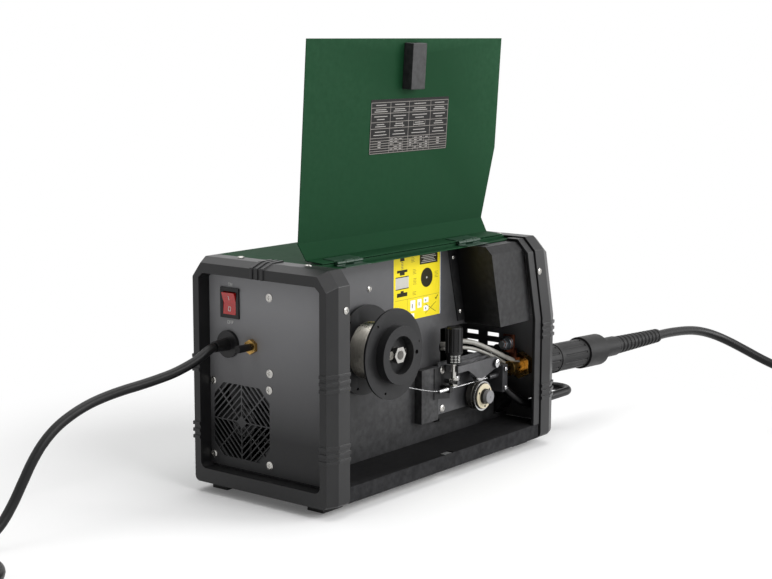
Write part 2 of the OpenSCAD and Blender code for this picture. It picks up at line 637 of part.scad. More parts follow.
spool_far = wall_y + 4;
spool_front = spool_far + spool_w;
module spool_shaft() color([0.55, 0.55, 0.57]) {
    rod_y(spool_x, -spool_far + 0.3, -wall_y, spool_z, 14);
    rod_y(spool_x, -spool_front, -spool_far, spool_z, spool_bore - run_gap);
    rod_y(spool_x, -spool_front - 9, -wall_y + 3, spool_z, 5);
}
module wire_spool() color([0.09, 0.09, 0.1]) difference() {
    union() {
        rod_y(spool_x, -spool_far - 2.6, -spool_far, spool_z, spool_r);
        rod_y(spool_x, -spool_front, -spool_front + 2.6, spool_z, spool_r);
        rod_y(spool_x, -spool_front, -spool_far, spool_z, 20);
        difference() {
            rod_y(spool_x, -spool_front - 10.4, -spool_front, spool_z, wound_r);
            rod_y(spool_x, -body_w, -spool_front + 0.4, spool_z, 21);
        }
    }
    rod_y(spool_x, -body_w, 0, spool_z, spool_bore);
    for (a = [10, 130, 250])
        rod_y(spool_x + (spool_r - 6) * cos(a), -body_w, 0, spool_z + (spool_r - 6) * sin(a), 1.6);
    rod_y(spool_x + 26.5, -body_w, -spool_front + 3, spool_z, 2.5);
}
turn_r = 0.6;
wound_w = spool_w - 2 * 2.6 - 2 * turn_r - 2;
wound_path = [for (i = [0:wound_turns * 24]) let (a = -105.8 + i * 15, r = wound_r - turn_r)
    [spool_x + r * cos(a), -spool_far - 2.6 - turn_r - 1 - wound_w * i / (wound_turns * 24),
        spool_z + r * sin(a)]];
wound_first = unit(wound_path[0] - wound_path[1]);
wound_last = unit(wound_path[len(wound_path) - 1] - wound_path[len(wound_path) - 2]);
wound_loops = concat([wound_path[0] + 2 * turn_r * wound_first], wound_path,
    [wound_path[len(wound_path) - 1] + 2 * turn_r * wound_last]);
module wire_winding() color([0.75, 0.75, 0.76]) {
    difference() {
        rod_y(spool_x, -spool_front + 2.7, -spool_far - 2.7, spool_z, (wound_r - turn_r) * cos(7.5)
            - turn_r - 0.1);
        rod_y(spool_x, -spool_front, -spool_far, spool_z, 20.1);
    }
    tube(wound_loops, turn_r, 6, [0, 1, 0]);
}
module spool_nut() color([0.6, 0.6, 0.62]) difference() {
    union() {
        block([spool_x - 19, -spool_front - 2.6, spool_z - 4.5],
            [spool_x + 19, -spool_front - gap, spool_z + 4.5]);
        translate([spool_x, -spool_front - 2.5, spool_z]) rotate([90, 0, 0])
            cylinder(h = 6, r = 9.6, $fn = 6);
    }
    rod_y(spool_x, -body_w, 0, spool_z, 5.02);
}
module welding_wire() color([0.78, 0.78, 0.78]) tube([[-96, -feed_y + 4, 123], [-70, -feed_y + 3, 116.2],
    [-38, -feed_y + 1.5, 107.6], [-4, -feed_y + 0.4, 98], [16, -feed_y, 93.2], [30, -feed_y, 91.6],
    [idler_x - 40, -feed_y, wire_z], [idler_x, -feed_y, wire_z], [idler_x + 24, -feed_y, wire_z + 0.4],
    [152, -feed_y - 0.6, wire_z + 2], [178, -torch_y + 0.4, torch_z - 1.2],
        [nose_x - 8, -torch_y, torch_z]],
    wire_d / 2, 8);
module inlet_guide() color([0.72, 0.72, 0.74]) difference() {
    union() {
        rod_x(23, 46, -feed_y, wire_z + 0.4, 2.6);
        block([41, -feed_y - 3.4, wire_z - 4], [47, -plate_y - 1 - gap, wire_z + 3.5]);
    }
    rod_x(0, 60, -feed_y, wire_z + 0.4, 1.5);
}
module feeder_plate() color([0.2, 0.2, 0.22]) {
    difference() {
        along_y(-plate_y, -plate_y + 2.5) polygon([[39, 60], [152, 60], [152, 112], [140, 122],
            [39, 122]]);
        rod_y(drive_x, -plate_y - 1, 0, drive_z, 4.8);
    }
    for (x = [39, 146]) block([x, -plate_y + 2.5, 100], [x + 6, -wall_y - gap, 106]);
    rod_y(pivot_x, -feed_y - 8, -plate_y, pivot_z, pin_r);
    rod_y(pivot_x, -feed_y - 10.4, -feed_y - 8, pivot_z, 5.5);
    rod_y(swing_x, -feed_y - 7, -plate_y, swing_z, 2.5);
    for (x = [73, 124]) rod_y(x, -plate_y - 3, -plate_y, x == 73 ? 98 : 84, 4);
}
module feed_motor() color([0.07, 0.07, 0.07]) difference() {
    union() {
        // Box in front of the wall, its step behind the plate, and the gears and the motor behind the
        // wall.
        block([7, -plate_y, 54], [38.5, -wall_y - gap, 117]);
        block([38, -wall_y - 7, 54], [60, -wall_y - gap, 90]);
        // Its cover lies on the plate.
        block([30, -plate_y - 1, 79], [38.5, -plate_y + 1, 116]);
        along_y(-plate_y - 1, -plate_y - 0.1) polygon([[38, 79], [60, 76], [60.4, 90.5], [69, 103], [56, 116],
            [38, 116]]);
        block([46, -wall_y - 7, 50], [126, -14, 94]);
        rod_y(drive_x, -15, 34, drive_z, 19);
    }
    rod_y(drive_x, -60, -30, drive_z, 4 + run_gap);
    rod_y(46, -body_w, -plate_y, 112, 5);
    rod_y(swing_x, -body_w, -plate_y, swing_z, 3);
}
module drive_roll() color([0.72, 0.7, 0.66]) difference() {
    union() {
        rod_y(drive_x, -feed_y - 4, -feed_y + 8, drive_z, drive_r);
        rod_y(drive_x, -feed_y - 6.5, -feed_y - 4, drive_z, 15);
        rod_y(drive_x, -feed_y - 10, -feed_y - 6.5, drive_z, 9);
        rod_y(drive_x, -feed_y - 15, -feed_y - 10, drive_z, 7.7);
        rod_y(drive_x, -feed_y + 8, -32, drive_z, 4);
    }
    translate([drive_x, -feed_y, drive_z]) rotate([90, 0, 0]) rotate_extrude()
        translate([drive_r, 0]) circle(r = 0.6, $fn = 16);
}
module idler_arm() color([0.25, 0.25, 0.27]) difference() {
    union() {
        along_y(-plate_y - 6.2, -plate_y - 1.2) polygon([[51.5, arm_z], [idler_x - 8, arm_z],
            [idler_x - 6, idler_z - 4],
            [idler_x + 6, idler_z - 4], [pivot_x - 4, pivot_z - 7], [pivot_x + 6, pivot_z - 4],
            [pivot_x + 7, pivot_z + 4], [pivot_x, arm_z + arm_t], [51.5, arm_z + arm_t]]);
        block([51.5, -feed_y - 7.5, arm_z], [64, -plate_y - 1.2, arm_z + arm_t]);
        rod_y(pivot_x, -feed_y - 7.5, -plate_y - 1.2, pivot_z, 6.5);
        rod_y(idler_x, -feed_y - 6, -plate_y - 1.2, idler_z, pin_r);
        // Front cheek, which hides the upper part of the idler roll.
        along_y(-feed_y - 7.5, -feed_y - 5.2) polygon([[58, arm_z], [72, arm_z], [idler_x - 13, idler_z - 5.5],
            [idler_x - 4, idler_z - 7.5], [idler_x + 6, idler_z - 5.5], [pivot_x - 4, pivot_z - 7],
            [pivot_x + 6, pivot_z - 4], [pivot_x + 7, pivot_z + 4], [pivot_x, arm_z + arm_t],
            [58, arm_z + arm_t]]);
    }
    rod_y(pivot_x, -body_w, 0, pivot_z, pin_r + run_gap);
    block([40, -feed_y - 5, arm_z - 9], [swing_x + 6.5, -feed_y + 5, arm_z + arm_t + 1]);
}
module idler_roll() color([0.7, 0.7, 0.72]) difference() {
    rod_y(idler_x, -feed_y - 4.6, -feed_y + 4.6, idler_z, idler_r);
    rod_y(idler_x, -body_w, 0, idler_z, pin_r + run_gap);
}
module tension_screw() color([0.6, 0.6, 0.62]) difference() {
    union() {
        rod_y(swing_x, -feed_y - 3, -feed_y + 3, swing_z, 5.5);
        rod_z(swing_x, -feed_y, swing_z + 4, tab_z + knob_l - 6, 2.9);
    }
    rod_y(swing_x, -body_w, 0, swing_z, 2.5 + run_gap);
}
module tension_knob() color([0.1, 0.1, 0.1]) translate([swing_x, -feed_y, tab_z]) difference() {
    union() {
        cylinder(h = 12, r = knob_r - 1.6);
        translate([0, 0, 12]) cylinder(h = knob_l - 14, r = knob_r);
        translate([0, 0, knob_l - 2]) cylinder(h = 2, r1 = knob_r, r2 = knob_r - 1.5);
    }
    translate([0, 0, -1]) cylinder(h = knob_l - 4, r = 2.9 + run_gap);
    for (a = [0:30:330]) rotate(a) translate([knob_r + 0.5, 0, 14])
        cylinder(h = knob_l, r = 1.3, $fn = 16);
}
module outlet_guide() color([0.3, 0.3, 0.32]) difference() {
    union() {
        block([141, -feed_y - 9, 72], [151, -plate_y, 105]);
        rod_x(pivot_x - 4, 142, -feed_y, wire_z + 0.8, 3);
        for (z = [77, 100]) rod_y(146, -feed_y - 10.5, -feed_y - 9, z, 3.2);
    }
    rod_x(100, 200, -feed_y, wire_z + 1.2, 1.8);
}
module torch_socket() color([0.78, 0.6, 0.25]) difference() {
    union() {
        rod_x(panel_x - 34, panel_x, -torch_y, torch_z, 9);
        rod_x(panel_x, panel_x + 3, -torch_y, torch_z, 16);
        rod_x(panel_x, nose_x, -torch_y, torch_z, nose_r);
    }
    rod_x(0, body_l, -torch_y, torch_z, 3);
}
module socket_nut() color([0.75, 0.57, 0.22]) translate([panel_x - panel_t - 11 - gap, -torch_y, torch_z])
    rotate([0, 90, 0]) difference() {
        cylinder(h = 11, r = 16.4, $fn = 6);
        translate([0, 0, -1]) cylinder(h = 13, r = 9.02);
    }
module busbar() color([0.72, 0.42, 0.26]) {
    low = torch_z + 9 + 0.1;
    block([bar_x, -torch_y - 11, 118], [bar_x + 3, -torch_y + 4, 140]);
    block([bar_x, -torch_y - 5, 118], [panel_x - 24, -torch_y + 5, 121]);
    block([panel_x - 27, -torch_y - 5, low], [panel_x - 24, -torch_y + 5, 121]);
    rod_x(bar_x - 4, bar_x, bolt_y, bolt_z, 8);
    rod_x(bar_x - 12, bar_x, bolt_y, bolt_z, 5);
    block([panel_x - 27, -torch_y - 5, low], [panel_x - 18, -torch_y + 5, low + 3]);
}
module on_torch(x) translate([panel_x, -torch_y, torch_z]) rotate([0, torch_tilt, 0]) translate([x, 0, 0])
    rotate([0, 90, 0]) children();
grip_x = 4.5;
relief_x = grip_x + grip_l + gap;
tail_x = relief_x + 87;
tail_l = 121;
tail_tilt = 1.6;
module torch_grip() color([0.06, 0.06, 0.06]) on_torch(grip_x) difference() {
    union() {
        cylinder(h = grip_l, r = grip_r, $fn = 64);
        translate([0, 0, grip_l * 0.46]) cylinder(h = 5, r = grip_r + 0.8, $fn = 64);
    }
    translate([0, 0, -1]) cylinder(h = grip_l + 2, r = nose_r + 1.9);
    for (a = [0:30:330]) {
        rotate(a) translate([grip_r + 0.9, 0, 6]) cylinder(h = grip_l * 0.46 - 10, r = 1.8, $fn = 16);
        rotate(a + 15) translate([grip_r + 0.9, 0, grip_l * 0.46 + 9])
            cylinder(h = grip_l * 0.54 - 14, r = 1.8, $fn = 16);
    }
}
module torch_relief() color([0.06, 0.06, 0.06]) {
    on_torch(0) {
        translate([0, 0, reach_x - panel_x + 3]) cylinder(h = relief_x - reach_x + panel_x,
            r = nose_r + 1.6);
        translate([0, 0, relief_x]) cylinder(h = 44, r = 20.5, $fn = 64);
        translate([0, 0, relief_x + 44]) cylinder(h = 44, r = 13);
    }
    on_torch(tail_x) rotate([0, tail_tilt - torch_tilt, 0]) rotate_extrude()
        polygon(concat([[0, 0], [11.5, 0]],
        [for (k = [0:11]) let (r = 12 - 0.22 * k, z = 2 + 10 * k)
            each [[r - 1.8, z], [r, z + 1], [r, z + 6],
            [r - 1.8, z + 7]]], [[hose_d / 2 + 0.6, tail_l], [0, tail_l]]));
}
// Where the torch hose leaves its relief.
hose_from = [panel_x + tail_x * cos(torch_tilt) + tail_l * cos(tail_tilt), -torch_y,
    torch_z - tail_x * sin(torch_tilt) - tail_l * sin(tail_tilt)];
hose_mid = 64;
hose_r = coil_r(hose_turns, hose_d, hose_mid);
hose_c = [767 - hose_r, -262];
hose_wound = coil_path(hose_c, 0, -1, hose_turns, hose_d, hose_mid);
hose_end = hose_wound[len(hose_wound) - 1];
hose_loops = concat([[767, hose_c.y + hose_d, hose_d / 2]], hose_wound,
    [hose_end - [hose_d, 0, 0], hose_end - [42, 0, 0]]);
// The torch hose sags from its relief to the floor and swings towards the door side.
hose_route = concat([hose_from, hose_from + 8 * [cos(tail_tilt), 0, -sin(tail_tilt)]], [[560, -64.2, 82.8],
    [583, -64.8, 81.6], [610, -65.8, 79.4], [636, -68, 76], [660, -73, 70.6], [681, -82, 62.8],
        [698, -96, 52.6],
    [711, -114, 41], [721, -134, 29.6], [730, -156, 19.6], [741, -180, 12], [752, -202, 7.8],
    [761, -220, hose_d / 2], [766, -233, hose_d / 2], [767, -240, hose_d / 2],
    [767, hose_c.y + hose_d, hose_d / 2]]);
module torch_hose() color([0.05, 0.05, 0.05]) tube(hose_route, hose_d / 2, 10);
module torch_coil() color([0.05, 0.05, 0.05]) tube(hose_loops, hose_d / 2, 6);
// The torch lies on its back on the floor, with its neck and its trigger up.
torch_at = hose_loops[len(hose_loops) - 1];
module on_handle() translate([torch_at.x, torch_at.y, torch_at.z - 0.2]) mirror([1, 0, 0]) children();
module torch_handle() color([0.1, 0.1, 0.1]) on_handle() {
    rod_x(0, 36, 0, 0, hose_d / 2 + 3.2);
    difference() {
        hull() {
            rod_x(36, 40, 0, 0, 14);
            rod_x(50, 60, 0, 0, 18);
        }
        block([30, -30, -40], [70, 30, -torch_at.z + 0.2]);
    }
    difference() {
        rod_x(60, 168, 0, 0, 17.5);
        block([96, -5.5, 8.4], [150, 5.5, 30]);
    }
}
module torch_trigger() color([0.5, 0.08, 0.06]) on_handle() {
    along_y(-5, 5) polygon([[97, 11], [148, 11], [148, 17.6], [136, 21.5], [112, 22.5], [97, 18]]);
}
module torch_neck() color([0.7, 0.5, 0.3]) on_handle() {
    rod_x(168, 184, 0, 0, 9);
    translate([184, 0, 34]) rotate([90, 0, 0]) rotate([0, 0, -90]) rotate_extrude(angle = 50)
        translate([34, 0]) circle(r = 6.5);
    translate([184, 0, 34]) rotate([0, 90 - 50, 0]) translate([34, 0, 0])
        cylinder(h = 52, r1 = 10.5, r2 = 9);
}

module output_sockets() color([0.07, 0.07, 0.07]) for (y = [-plug_y, -free_y]) difference() {
    union() {
        rod_x(panel_x, panel_x + 5, y, lead_z, 15);
        rod_x(panel_x - 28, panel_x, y, lead_z, 13);
    }
    rod_x(panel_x - 20, panel_x + 6, y, lead_z, socket_r);
}
module polarity_plug() color([0.06, 0.06, 0.06]) difference() {
    union() {
        rod_x(panel_x + 5.2, panel_x + 34, -plug_y, lead_z, 12.5);
        translate([panel_x + 34, -plug_y, lead_z]) rotate([0, 90, 0])
            cylinder(h = 20, r1 = 11.5, r2 = 7.5);
        rod_x(panel_x - 16, panel_x + 6, -plug_y, lead_z, socket_r - run_gap);
    }
    for (a = [0:45:315]) translate([panel_x + 4, -plug_y, lead_z]) rotate([a, 0, 0])
        translate([0, 0, 13.2])
        rotate([0, 90, 0]) cylinder(h = 24, r = 1.5, $fn = 16);
}
polarity_mid = (plug_y + back_y) / 2;
polarity_r = (back_y - plug_y) / 2;
polarity_route = concat([[panel_x + 54, -plug_y, lead_z], [panel_x + 62, -plug_y, lead_z]],
    [for (p = arc([panel_x + 76, -polarity_mid], polarity_r, 90, -90, 14)) [p.x, p.y, lead_z]],
    [[panel_x + 60, -back_y, lead_z], [panel_x + 30, -back_y, lead_z], [panel_x, -back_y, lead_z],
        [190, -75.4, 50.4], [182, -72, 53], [175, -66, 59], [169, -58.5, 67], [165, -52, 77],
        [163, -48.4, 88], [162.4, -47.4, 98], [161, -47.6, 107], [157.5, -49.5, 115],
        [153.5, -53, 120.5], [151.5, -55.6, 122.6]]);
module polarity_lead() color([0.05, 0.05, 0.05]) tube(polarity_route, polarity_d / 2, 10,
    [0.35, 0.93, 0.1]);

module transformer() color([0.35, 0.3, 0.28]) {
    side = half_w - 16;
    block([-60, side - 70, tray_top + 0.1], [36, side, tray_top + 18]);
    block([-60, side - 70, tray_top + 18], [-42, side, tray_top + 62]);
    block([18, side - 70, tray_top + 18], [36, side, tray_top + 62]);
    block([-60, side - 70, tray_top + 62], [36, side, tray_top + 80]);
    block([-43, side - 76, tray_top + 17], [19, side + 6, tray_top + 63]);
}
module heat_sink() color([0.75, 0.75, 0.77]) {
    block([-160, -30, tray_top + 0.1], [-76, 86, tray_top + 8]);
    for (y = [-30:10:80]) block([-160, y, tray_top + 8], [-76, y + 2, tray_top + 52]);
}
module circuit_board() color([0.1, 0.3, 0.14]) {
    block([-140, -wall_y + wall_t + 4, 112], [40, -wall_y + wall_t + 5.6, 230]);
    for (x = [-132, 32], z = [118, 224])
        rod_y(x, -wall_y + wall_t, -wall_y + wall_t + 4, z, 2.5);
    for (x = [-110, -70, -30]) rod_y(x, -wall_y + wall_t + 5.6, -wall_y + wall_t + 40, 200, 12);
    block([-60, -wall_y + wall_t + 5.6, 130], [20, -wall_y + wall_t + 26, 165]);
}

echo(str("wire_winding least gap ", least_gap(wound_path, 2 * turn_r, 12), " mm"));
echo(str("mains_coil least gap ", least_gap(mains_wound, mains_d, 12), " mm"));
echo(str("torch_coil least gap ", least_gap(hose_wound, hose_d, 12), " mm"));

rear_frame();
front_frame();
base_tray();
rubber_feet();
rear_panel();
front_panel();
control_panel();
divider_wall();
control_box();
outer_cover();
wire_door();
latch_housing();
latch_slide();
hinge_leaves();
door_leaves();
carry_handle();
screws();
switch_body();
switch_rocker();
mains_gland();
mains_cord();
mains_coil();
mains_plug();
gas_inlet();
gas_cap();
gas_valve();
fan_frame();
fan_rotor();
spool_shaft();
wire_spool();
wire_winding();
spool_nut();
welding_wire();
inlet_guide();
feeder_plate();
feed_motor();
drive_roll();
idler_arm();
idler_roll();
tension_screw();
tension_knob();
outlet_guide();
torch_socket();
socket_nut();
busbar();
torch_grip();
torch_relief();
torch_hose();
torch_coil();
torch_handle();
torch_trigger();
torch_neck();
output_sockets();
polarity_plug();
polarity_lead();
transformer();
heat_sink();
circuit_board();
voltage_knob();
speed_knob();
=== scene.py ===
"""Looks of a portable wire-feed welding machine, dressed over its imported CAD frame.

The machine stands with its wire compartment open. Each sub-assembly is a class that gives the CAD nodes
of its part a finish and adds the pieces that the frame leaves plain: the cords with their coils, the
wound wire, the labels and the small hardware. Lengths are in metres, in the frame of the CAD model:
+Z is up, +X is the front, where the torch plugs in, and -Y is the side of the wire door.
"""

from __future__ import annotations

import json
import logging
import math
from dataclasses import dataclass, field
from enum import Enum

import bpy
import numpy as np
from mathutils import Matrix, Vector

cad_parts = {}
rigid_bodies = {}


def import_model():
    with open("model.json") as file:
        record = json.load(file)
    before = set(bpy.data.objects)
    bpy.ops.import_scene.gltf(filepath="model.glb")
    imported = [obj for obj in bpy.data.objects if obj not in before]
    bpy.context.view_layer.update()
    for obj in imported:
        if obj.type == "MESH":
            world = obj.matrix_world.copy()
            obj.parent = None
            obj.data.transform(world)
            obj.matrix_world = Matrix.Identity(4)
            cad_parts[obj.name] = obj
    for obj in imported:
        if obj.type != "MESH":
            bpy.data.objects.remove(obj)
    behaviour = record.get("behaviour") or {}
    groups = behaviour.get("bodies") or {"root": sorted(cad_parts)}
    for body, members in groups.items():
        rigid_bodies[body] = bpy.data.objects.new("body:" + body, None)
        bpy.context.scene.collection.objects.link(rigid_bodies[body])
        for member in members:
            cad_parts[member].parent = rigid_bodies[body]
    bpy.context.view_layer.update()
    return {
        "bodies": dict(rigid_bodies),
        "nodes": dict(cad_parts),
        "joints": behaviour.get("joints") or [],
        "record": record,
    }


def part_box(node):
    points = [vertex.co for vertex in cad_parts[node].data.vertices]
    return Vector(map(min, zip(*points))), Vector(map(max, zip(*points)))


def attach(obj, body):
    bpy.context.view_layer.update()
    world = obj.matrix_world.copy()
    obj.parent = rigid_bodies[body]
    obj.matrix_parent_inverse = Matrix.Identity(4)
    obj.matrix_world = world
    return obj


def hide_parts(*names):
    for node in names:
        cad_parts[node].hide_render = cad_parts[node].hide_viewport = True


log = logging.getLogger("welding_machine")

Point = tuple[float, float, float]
Colour = tuple[int, int, int]
Pair = tuple[float, float]
Socket = bpy.types.NodeSocket
Feeds = dict[str | int, object]
WHITE = (1.0, 1.0, 1.0, 1.0)
DUST: Colour = (168, 164, 156)
# Painted shade: standing faces darken towards the floor and towards the front between these places.
PAINTED_SHADE_HEIGHTS: Pair = (0.07, 0.21)  # heights between which a standing face darkens
PAINTED_SHADE_PLACES: Pair = (0.04, 0.13)  # places along the machine between which a face darkens
MOTTLED: Pair = (0.3, 0.7)  # values of the mottle over which the roughness wanders
SMOOTH_BELOW = 35.0  # an edge is sharp above this angle, in degrees
PAPER = 0.0001  # thickness of a print
INK = 0.00003  # what each layer of a print stands above the one below it


# Finishes -------------------------------------------------------------------------------------------


def linear(colour: Colour) -> tuple[float, float, float, float]:
    """Turns a paint colour of 0 to 255 a channel into the linear colour that a shader takes.

    Args:
        colour: Red, green and blue as a paint chart gives them.

    Returns:
        Red, green, blue and an alpha of 1.
    """
    share = np.array(colour) / 255
    light = np.where(share <= 0.04045, share / 12.92, ((share + 0.055) / 1.055) ** 2.4)
    return (*light.tolist(), 1.0)


@dataclass(frozen=True)
class Finish:
    """One surface finish of the machine.

    Attributes:
        colour: Main colour.
        mottle: Colour that the main one wanders to.
        roughness: Middle of the roughness.
        spread: How far the roughness wanders to either side.
        metallic: 1 for bare metal.
        coat: Weight of a clear coat.
        specular: Specular level of the surface.
        grain: Grains to a metre.
        stretch: Stretch of the grain along each axis, as brushing and drawing leave it.
        relief: Height of the grain in metres.
        worn_and_highlight: Share by which edges show the edge colour, as rubbing and as painted highlight.
        worn_and_highlight_colour: Colour of a rubbed edge, a painted highlight on the box and cast parts.
        dust: Share of dust on what faces up.
        low: Share of its colour that a standing face keeps near the floor, as painted shade.
        ahead: Share of its colour that it keeps towards the front of the machine, as painted shade.
    """

    colour: Colour
    mottle: Colour
    roughness: float
    spread: float = 0.06
    metallic: float = 0.0
    coat: float = 0.0
    specular: float = 0.5
    grain: float = 1500
    stretch: Point = (1, 1, 1)
    relief: float = 1e-5
    worn_and_highlight: float = 0.0
    worn_and_highlight_colour: Colour = (150, 150, 150)
    dust: float = 0.05
    low: float = 1.0
    ahead: float = 1.0


class Look(Enum):
    """The finishes that the machine's pieces are made in."""

    BUMPER = Finish((23, 23, 24), (26, 26, 27), 0.36, 0.03, specular=0.33, grain=2600, relief=2e-5,
                    worn_and_highlight=0.3, worn_and_highlight_colour=(62, 62, 64), dust=0.01)
    COVER_GREEN = Finish((18, 52, 31), (20, 55, 33), 0.6, 0.02, specular=0.04, worn_and_highlight=0.35,
                         worn_and_highlight_colour=(70, 112, 84), dust=0.01)
    # Painted shade: the panel grey darkens towards the floor.
    PANEL_GREY = Finish((138, 138, 140), (142, 142, 144), 0.42, 0.03, specular=0.18, grain=1800, worn_and_highlight=0.2,
                        worn_and_highlight_colour=(105, 105, 107), dust=0.01, low=0.11)
    # Painted shade: the wall grey darkens towards the floor and towards the front.
    WALL_GREY = Finish((80, 80, 82), (84, 84, 85), 0.36, 0.03, specular=0.18, grain=1800, worn_and_highlight=0.3,
                       worn_and_highlight_colour=(100, 100, 102), dust=0.01, low=0.12, ahead=0.24)
    TRAY_GREY = Finish((27, 27, 28), (30, 30, 31), 0.5, 0.04, specular=0, grain=1800, relief=2e-5, worn_and_highlight=0.4,
                       worn_and_highlight_colour=(110, 110, 112), dust=0.01)
    # Painted highlight: the box's pale edge colour stands for edges catching the light.
    BOX_BLACK = Finish((12, 12, 13), (13, 13, 14), 0.4, 0.01, specular=0.16, relief=0, worn_and_highlight=0.25,
                       worn_and_highlight_colour=(150, 150, 152), dust=0.01)
    PLASTIC_BLACK = Finish((13, 13, 14), (17, 17, 18), 0.34, specular=0.3, grain=2200, dust=0.01)
    SPOOL_BLACK = Finish((30, 30, 31), (34, 34, 35), 0.4, 0.05, specular=0.14, grain=1200, worn_and_highlight=0.3,
                         worn_and_highlight_colour=(90, 90, 92), dust=0.01)
    RUBBER = Finish((12, 12, 13), (16, 16, 17), 0.5, 0.07, specular=0.25, grain=1600, relief=3e-5,
                    dust=0.02)
    CORD_BLACK = Finish((9, 9, 10), (12, 12, 13), 0.4, specular=0.25, grain=1400, dust=0.01)
    HINGE_STEEL = Finish((26, 52, 38), (34, 60, 46), 0.4, 0.08, specular=0.3, grain=2000, dust=0.02)
    ZINC = Finish((196, 194, 190), (168, 166, 162), 0.24, 0.08, metallic=1, grain=2400)
    BRIGHT_STEEL = Finish((205, 205, 205), (176, 176, 178), 0.22, 0.08, metallic=1, grain=2600,
                          stretch=(1, 1, 6))
    WIRE_SILVER = Finish((196, 192, 182), (160, 156, 148), 0.3, 0.08, metallic=1, grain=900, relief=0)
    DARK_STEEL = Finish((72, 70, 68), (98, 96, 92), 0.32, 0.1, metallic=0.8, grain=1800)
    # Painted highlight: the pale edge colour of the cast parts stands for edges catching the light.
    CAST_GREY = Finish((46, 46, 48), (56, 56, 58), 0.38, 0.08, metallic=0.3, grain=2600, relief=3e-5,
                       worn_and_highlight=0.5, worn_and_highlight_colour=(140, 140, 142), dust=0.02)
    ROLL_CREAM = Finish((206, 196, 170), (188, 178, 152), 0.45, relief=2e-5)
    CAP_GREY = Finish((112, 112, 114), (122, 122, 124), 0.4, relief=3e-5)
    BRASS = Finish((208, 172, 104), (176, 136, 72), 0.28, 0.1, metallic=1, grain=1400, relief=2e-5,
                   dust=0.1)
    STEEL_GREY = Finish((118, 122, 126), (84, 88, 92), 0.3, 0.1, metallic=1, grain=2200)
    COPPER = Finish((140, 84, 64), (112, 68, 52), 0.34, 0.1, metallic=1, grain=1600, relief=2e-5)
    CABLE_GREY = Finish((158, 156, 150), (140, 138, 132), 0.42, grain=1200, relief=2e-5)
    SLEEVE_RED = Finish((176, 20, 24), (150, 14, 18), 0.4, 0.05, grain=900, relief=3e-5)
    ROCKER_RED = Finish((196, 26, 22), (176, 18, 16), 0.22, 0.05, coat=0.3, grain=1200, relief=0)
    MARK_WHITE = Finish((225, 225, 222), (210, 210, 206), 0.5, 0.05, grain=900, relief=0)
    LABEL_PAPER = Finish((228, 206, 64), (222, 200, 60), 0.4, 0.04, specular=0.08, grain=900, relief=0)
    CORE_DARK = Finish((62, 54, 48), (84, 74, 64), 0.5, 0.1, metallic=0.4, grain=1200, relief=3e-5)
    BOARD_GREEN = Finish((24, 82, 44), (30, 92, 52), 0.4, 0.05, grain=800, relief=3e-5)


class Graph:
    """A node tree that is being drawn up.

    Attributes:
        tree: The tree.
    """

    def __init__(self, tree: bpy.types.NodeTree) -> None:
        """Takes the tree."""
        self.tree = tree

    @classmethod
    def group(cls, name: str, kind: str, takes: dict[str, str], gives: dict[str, str]) -> Graph:
        """Starts a node group.

        Args:
            name: Name of the group.
            kind: Type of its tree.
            takes: For each input, its kind of socket.
            gives: For each output, its kind of socket.

        Returns:
            The graph, with an input and an output node in it.
        """
        graph = cls(bpy.data.node_groups.new(name, kind))
        for way, sockets in (("INPUT", takes), ("OUTPUT", gives)):
            for label, socket in sockets.items():
                graph.tree.interface.new_socket(label, in_out=way, socket_type="NodeSocket" + socket)
        graph.add("NodeGroupInput").name = "in"
        graph.add("NodeGroupOutput").name = "out"
        return graph

    def taken(self, label: str) -> Socket:
        """Socket of an input of the group."""
        return self.tree.nodes["in"].outputs[label]

    def give(self, feeds: dict[str, Socket]) -> bpy.types.NodeTree:
        """Feeds the group's outputs and hands over its tree."""
        self.feed(self.tree.nodes["out"], feeds)
        return self.tree

    def feed(self, node: bpy.types.Node, feeds: Feeds) -> bpy.types.Node:
        """Feeds a node's inputs.

        Args:
            node: The node.
            feeds: For each input, by name or number, a value or the socket that it is linked to.

        Returns:
            The node.
        """
        for slot, value in feeds.items():
            if isinstance(value, Socket):
                self.tree.links.new(value, node.inputs[slot])
            else:
                node.inputs[slot].default_value = value
        return node

    def add(self, kind: str, feeds: Feeds | None = None, **settings: object) -> bpy.types.Node:
        """Adds a node.

        Args:
            kind: Its type.
            feeds: What feed() takes.
            settings: Values of the node's own settings.

        Returns:
            The node.
        """
        node = self.tree.nodes.new(kind)
        for name, value in settings.items():
            setattr(node, name, value)
        return self.feed(node, feeds or {})

    def place(self) -> Socket:
        """Place on the machine, in metres."""
        return self.add("ShaderNodeTexCoord").outputs["Object"]

    def along(self, vector: Socket, axis: str) -> Socket:
        """Part of a vector along X, Y or Z."""
        return self.add("ShaderNodeSeparateXYZ", {0: vector}).outputs[axis]

    def math(self, operation: str, first: object, second: object, kind: str = "ShaderNodeMath") -> Socket:
        """Result of an operation on two values or sockets."""
        return self.add(kind, {0: first, 1: second}, operation=operation).outputs[0]

    def span(self, value: object, start: float, end: float, low: float = 0.0, high: float = 1.0,
             **settings: object) -> Socket:
        """Carries a value between start and end over to one between low and high, and holds it outside."""
        feeds = {"Value": value, "From Min": start, "From Max": end, "To Min": low, "To Max": high}
        return self.add("ShaderNodeMapRange", feeds, **settings).outputs["Result"]

    def noise(self, vector: object, scale: object, detail: float, rough: float = 0.5) -> Socket:
        """Noise from 0 to 1."""
        feeds = {"Vector": vector, "Scale": scale, "Detail": detail, "Roughness": rough}
        return self.add("ShaderNodeTexNoise", feeds).outputs["Fac"]

    def mix(self, share: object, first: object, second: object, **settings: object) -> Socket:
        """Mix of two colours, by the share of the second."""
        feeds = {"Factor": share, "A": first, "B": second}
        return self.add("ShaderNodeMix", feeds, data_type="RGBA", **settings).outputs["Result"]


